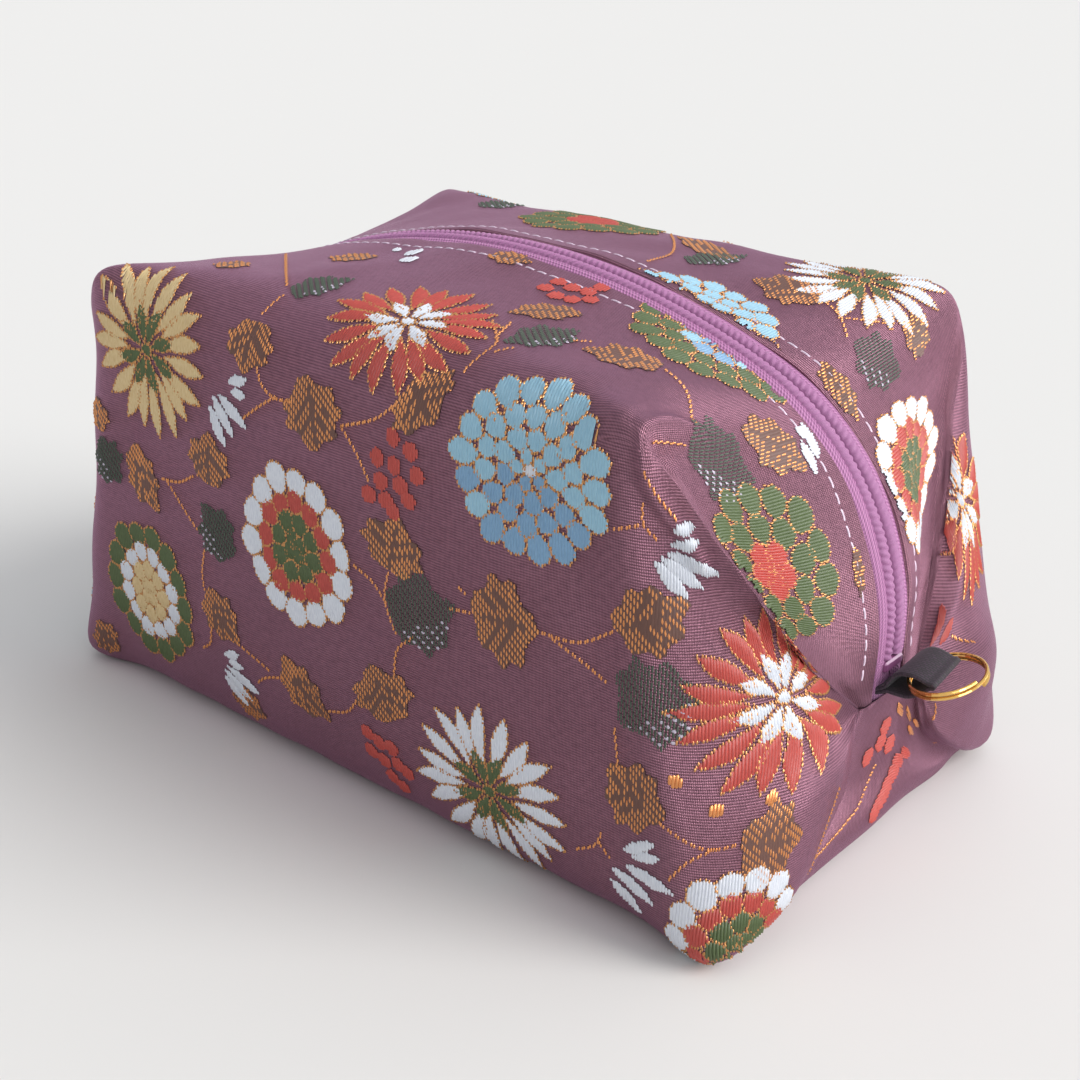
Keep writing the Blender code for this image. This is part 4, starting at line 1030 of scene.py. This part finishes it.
set_inputs(plain_lining, lining_shader, {"Normal": weave_bump.outputs["Normal"]})
lining_cloth = add_piece("lining_cloth", lining_skin.reshape(-1, 3), skin_faces(*lining_skin.shape[:2]), plain_lining,
                         "bag")
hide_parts("lining")


# Zip: a knitted coil zip. The tapes are knitted in fine ribs that run along the zip, and the coil is
# covered by slanted knit loops 1.2 mm apart. All of it is dyed orchid purple.
tape_inset, tape_near, tape_far = 0.0017, 0.0022, 0.0125
chain_end = half_zip_line() - 0.0058
tape_swell, swell_from, swell_run = (0.0012, 0.0014, 0.0010, 0.0006, 0.0, 0.0), -0.048, 0.012
closed_half_gap, into_seam, least_width = 0.0001, 0.0014, 0.0101
knit_rib = 0.0006
orchid_knit, orchid_shader = new_material("orchid_knitted_tape", "#8d4f7d", 0.62)
where = add_node(orchid_knit, "UVMap", uv_map="cloth")
split = add_node(orchid_knit, "SeparateXYZ", {0: where.outputs["UV"]})
ribs = add_node(orchid_knit, "Math", {0: split.outputs["Y"], 1: wave / knit_rib}, operation="MULTIPLY")
courses = add_node(orchid_knit, "Math", {0: split.outputs["X"], 1: wave / knit_rib}, operation="MULTIPLY")
rib_wave = add_node(orchid_knit, "Math", {0: ribs.outputs[0]}, operation="SINE")
course_wave = add_node(orchid_knit, "Math", {0: courses.outputs[0]}, operation="SINE")
knit = add_node(orchid_knit, "Math", {0: rib_wave.outputs[0], 1: course_wave.outputs[0]}, operation="ADD")
knit_tone = add_node(orchid_knit, "MapRange", {"Value": knit.outputs[0], "From Min": -2.0, "From Max": 2.0})
knit_colour = add_node(orchid_knit, "Mix", {0: knit_tone.outputs[0], 6: linear("#86487a"), 7: linear("#c987b8")},
                       data_type="RGBA")
knit_bump = add_node(orchid_knit, "Bump", {"Height": knit.outputs[0], "Strength": 0.5, "Distance": 0.00012})
set_inputs(orchid_knit, orchid_shader, {"Base Color": knit_colour.outputs[2], "Normal": knit_bump.outputs["Normal"],
                                        "Sheen Weight": 0.4, "Sheen Tint": linear("#f0b8e2")})


def points_out(line):
    """Outward directions of the zip's arch at points along it."""
    ahead = np.gradient(line, axis=0)
    return unit(np.stack([-ahead[:, 2], np.zeros(len(line)), ahead[:, 0]], axis=1))


def tape(name, side, node):
    """One zip tape, from under the chain to below the top panel. The two meet past the chain's ends."""
    keys = quarter_skin(side, zip_level_band, tape_inset, 0.0, row_steps, (1,) * len(column_steps))
    level_edge, beyond = keys[:-1, 0], keys[:-1, 1]
    inner = level_edge.copy()
    past_chain = level_edge[:, 2] < seam_height + half_zip_line() - chain_end
    inner[:, 1] = side * np.where(past_chain, closed_half_gap, tape_near)
    reach = (tape_far - zip_level_band) / (np.abs(beyond[0, 1]) - zip_level_band)
    outer = level_edge + (beyond - level_edge) * reach
    columns = [inner + (level_edge - inner) * share for share in (0, 0.5, 1)]
    columns += [level_edge + (outer - level_edge) * share for share in (0.12, 0.5, 1)]
    half = np.stack(columns, axis=1)
    half = np.concatenate([half, half[-1:] - (0.0, 0.0, into_seam)], axis=0)
    points = np.concatenate([half[:0:-1] * (-1, 1, 1), half], axis=0)
    raised = np.clip((points[:, 0, 0] - swell_from) / swell_run, 0, 1)[:, None] * np.array(tape_swell)
    points = points + raised[:, :, None] * points_out(points[:, 0])[:, None, :]
    along, across = (np.linalg.norm(np.diff(points, axis=axis), axis=2) for axis in (0, 1))
    lengths = np.cumsum(np.vstack([np.zeros((1, len(tape_swell))), along]), axis=0)
    widths = np.cumsum(np.hstack([np.zeros((len(points), 1)), across]), axis=1)
    made = add_piece(name, points.reshape(-1, 3), skin_faces(*points.shape[:2]), orchid_knit, "bag",
                     np.stack([lengths, widths], axis=2).reshape(-1, 2))
    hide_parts(node)


tape("front_zip_tape", -1, "tape_front")
tape("back_zip_tape", 1, "tape_back")

# The chain's halves: the coil under its knit loops, as half widths and depths below the arch.
loop_pitch, loop_depth, loop_slant, loop_steps = 0.0012, 0.00026, 0.45, 8
loops_end_depth, outer_face_y, loop_pinch = 0.0015, 0.002, 0.4
chain_section = ((0.00022, 0.0012), (0.00030, 0.00045), (0.00060, 0.0000), (0.00100, -0.00016), (0.00145, -0.0002),
                 (0.00190, -0.00012), (0.00225, 0.00015), (0.00250, 0.00060), (0.00260, 0.0012), (0.00260, 0.0023))
orchid_loops, loops_shader = new_material("orchid_knit_loops", "#a0608f", 0.55)
fuzz = add_node(orchid_loops, "TexNoise", {"Scale": 3000.0, "Detail": 3.0})
loop_colour = add_node(orchid_loops, "Mix", {0: fuzz.outputs["Fac"], 6: linear("#80457a"), 7: linear("#c785b6")},
                       data_type="RGBA")
fuzz_bump = add_node(orchid_loops, "Bump", {"Height": fuzz.outputs["Fac"], "Strength": 0.5, "Distance": 0.0001})
set_inputs(orchid_loops, loops_shader, {"Base Color": loop_colour.outputs[2], "Normal": fuzz_bump.outputs["Normal"],
                                        "Sheen Weight": 0.5, "Sheen Tint": linear("#f4c0e6")})


def under_arch(length, y, depth):
    """A point of the chain, at a depth below the zip's arch."""
    x, z, turn = zip_arch(abs(length))
    return math.copysign(x - depth * math.sin(turn), length), y, z - depth * math.cos(turn)


def chain(name, side, node):
    """Half of the closed chain: a round ridge that the knit loops cross at a slant."""
    count = int(2 * chain_end / loop_pitch * loop_steps)
    points = []
    for length in np.linspace(-chain_end, chain_end, count + 1):
        for y, depth in chain_section:
            phase = wave * (length + loop_slant * y) / loop_pitch
            sunk = loop_depth * (0.5 - 0.5 * math.cos(phase)) ** 1.5 if depth < loops_end_depth else 0.0
            points.append(under_arch(length, side * (y - loop_pinch * sunk * (y > outer_face_y)), depth + sunk))
    made = add_piece(name, points, skin_faces(count + 1, len(chain_section)), orchid_loops, "bag")
    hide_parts(node)


chain("front_knitted_coil", -1, "chain_front")
chain("back_knitted_coil", 1, "chain_back")


# Coil heads: the bends of the two polyester coils, where they hook into each other between the
# loops. They stand a little lower than the loops. The slider's run at the left shoulder is left free
# for its divider.
head_half, head_depth, head_step, run_end = 0.00045, 0.0009, 0.0003, -0.0465
head_points = []
head_lengths = [length for length in np.linspace(-chain_end, chain_end, int(4 * chain_end / loop_pitch) * 2 + 1)
                if math.copysign(zip_arch(abs(length))[0], length) > run_end]
for index, length in enumerate(head_lengths):
    for across in (-1.0, 0.0, 1.0):
        low = head_depth + head_step * (index % 2) + head_step * abs(across)
        head_points.append(under_arch(length, across * head_half, low))
add_piece("coil_heads", head_points, skin_faces(len(head_lengths), 3), orchid_loops, "bag")


# Tab: a strip of close dark cloth with its edges turned in, folded round the ring. Its two ends are
# caught in the right end's short seam, and it stands out at a slight tilt.
tab_width, tab_cloth, tab_tilt = 0.0076, 0.0006, math.radians(12.0)
tab_root = zip_arch(half_zip_line())[0] - seam_tuck
tab_keys = np.array([(tab_root - 0.0012, seam_height + 0.0009), (tab_root + 0.0002, seam_height + 0.00126),
                     (tab_root + 0.0048, seam_height + 0.0045), (tab_root + 0.0090, seam_height + 0.0058)])
ring_wire, ring_turn_gap, ring_radius, ring_slack = 0.0006, 0.00012, 0.0057, 0.0002
ring_bow = ring_radius - math.sqrt(ring_radius ** 2 - (tab_width / 2) ** 2)
fold_inside = math.hypot(ring_wire + ring_turn_gap / 2, ring_bow / 2 + ring_wire / 2) + ring_slack
course = smooth_line(tab_keys, (2, 6, 8))
pivot, first_open, last_open = 8, 4, len(course) - 2
ways = unit(np.gradient(course, axis=0))
upward = np.stack([-ways[:, 1], ways[:, 0]], axis=1)
shares = [(pivot - index) / (pivot - first_open) if index < pivot else (index - pivot) / (last_open - pivot)
          for index in range(len(course))]
opening = np.array([fold_inside * math.cos(math.pi / 2 * min(share, 1.0)) for share in shares])[:, None]
layer = course + upward * (opening + tab_cloth / 2), course - upward * (opening + tab_cloth / 2)
fold_path = np.vstack([layer[0], [course[-1] + ways[-1] * tab_cloth * 0.6], layer[1][::-1]])
fold_ways = unit(np.gradient(fold_path, axis=0))
fold_out = np.stack([-fold_ways[:, 1], fold_ways[:, 0]], axis=1)
tab_section = ((-1.0, 0.0), (-0.985, 0.42), (-0.9, 0.5), (0.0, 0.5), (0.9, 0.5), (0.985, 0.42), (1.0, 0.0),
               (0.985, -0.42), (0.9, -0.5), (0.0, -0.5), (-0.9, -0.5), (-0.985, -0.42))
tab_points, tab_place = [], []
tab_lengths = np.hstack([0, np.cumsum(np.linalg.norm(np.diff(fold_path, axis=0), axis=1))])
for (x, z), (out_x, out_z), length in zip(fold_path, fold_out, tab_lengths):
    tilt_share = min(max((x - tab_keys[0][0]) / (course[pivot][0] - tab_keys[0][0]), 0.0), 1.0)
    for across, out in tab_section:
        y = across * tab_width / 2
        lift = z + out_z * out * tab_cloth + y * math.tan(tab_tilt) * tilt_share ** 2
        tab_points.append((x + out_x * out * tab_cloth, y, lift))
        tab_place.append((length, y))
rings = np.arange(len(fold_path) * len(tab_section)).reshape(-1, len(tab_section))
rolled = np.roll(rings, -1, axis=1)
tab_faces = np.stack([rings[:-1], rolled[:-1], rolled[1:], rings[1:]], axis=-1)
dark_cloth, dark_shader = new_material("close_dark_cloth", "#3d2f3c", 0.7)
where = add_node(dark_cloth, "UVMap", uv_map="cloth")
close_weave = add_node(dark_cloth, "TexBrick", {
    "Vector": where.outputs["UV"], "Color1": linear("#3b283a"), "Color2": linear("#2a1c29"),
    "Mortar": linear("#160f15"), "Scale": 1.0, "Mortar Size": 0.00008, "Brick Width": 0.0008, "Row Height": 0.0004})
set_inputs(dark_cloth, dark_shader, {"Base Color": close_weave.outputs["Color"], "Sheen Weight": 0.15})
end_tab = add_piece("end_tab", tab_points, tab_faces.reshape(-1, 4), dark_cloth, "bag", tab_place)
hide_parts("tab_loop")


# Metal parts: the split ring is bright gilt brass wire, and the slider, its pull and the stops are
# zinc lacquered in the tape's colour.
gilt_wire, gilt_shader = new_material("gilt_brass_wire", "#e0b467", 0.22, 1.0)
hand_marks = add_node(gilt_wire, "TexNoise", {"Scale": 1800.0, "Detail": 3.0})
gilt_rough = add_node(gilt_wire, "MapRange", {"Value": hand_marks.outputs["Fac"], "To Min": 0.14, "To Max": 0.30})
set_inputs(gilt_wire, gilt_shader, {"Roughness": gilt_rough.outputs[0]})
lacquer, lacquer_shader = new_material("orchid_lacquered_zinc", "#8f5480", 0.30)
speckle = add_node(lacquer, "TexNoise", {"Scale": 1500.0, "Detail": 2.0})
lacquer_rough = add_node(lacquer, "MapRange", {"Value": speckle.outputs["Fac"], "To Min": 0.24, "To Max": 0.40})
set_inputs(lacquer, lacquer_shader, {"Roughness": lacquer_rough.outputs[0], "Coat Weight": 0.4})
for node, material in (("split_ring", gilt_wire), ("slider_body", lacquer), ("pull_tab", lacquer),
                       ("top_stop_front", lacquer), ("top_stop_back", lacquer), ("bottom_stop", lacquer)):
    for slot in bpy.data.objects[node].material_slots:
        slot.material = material
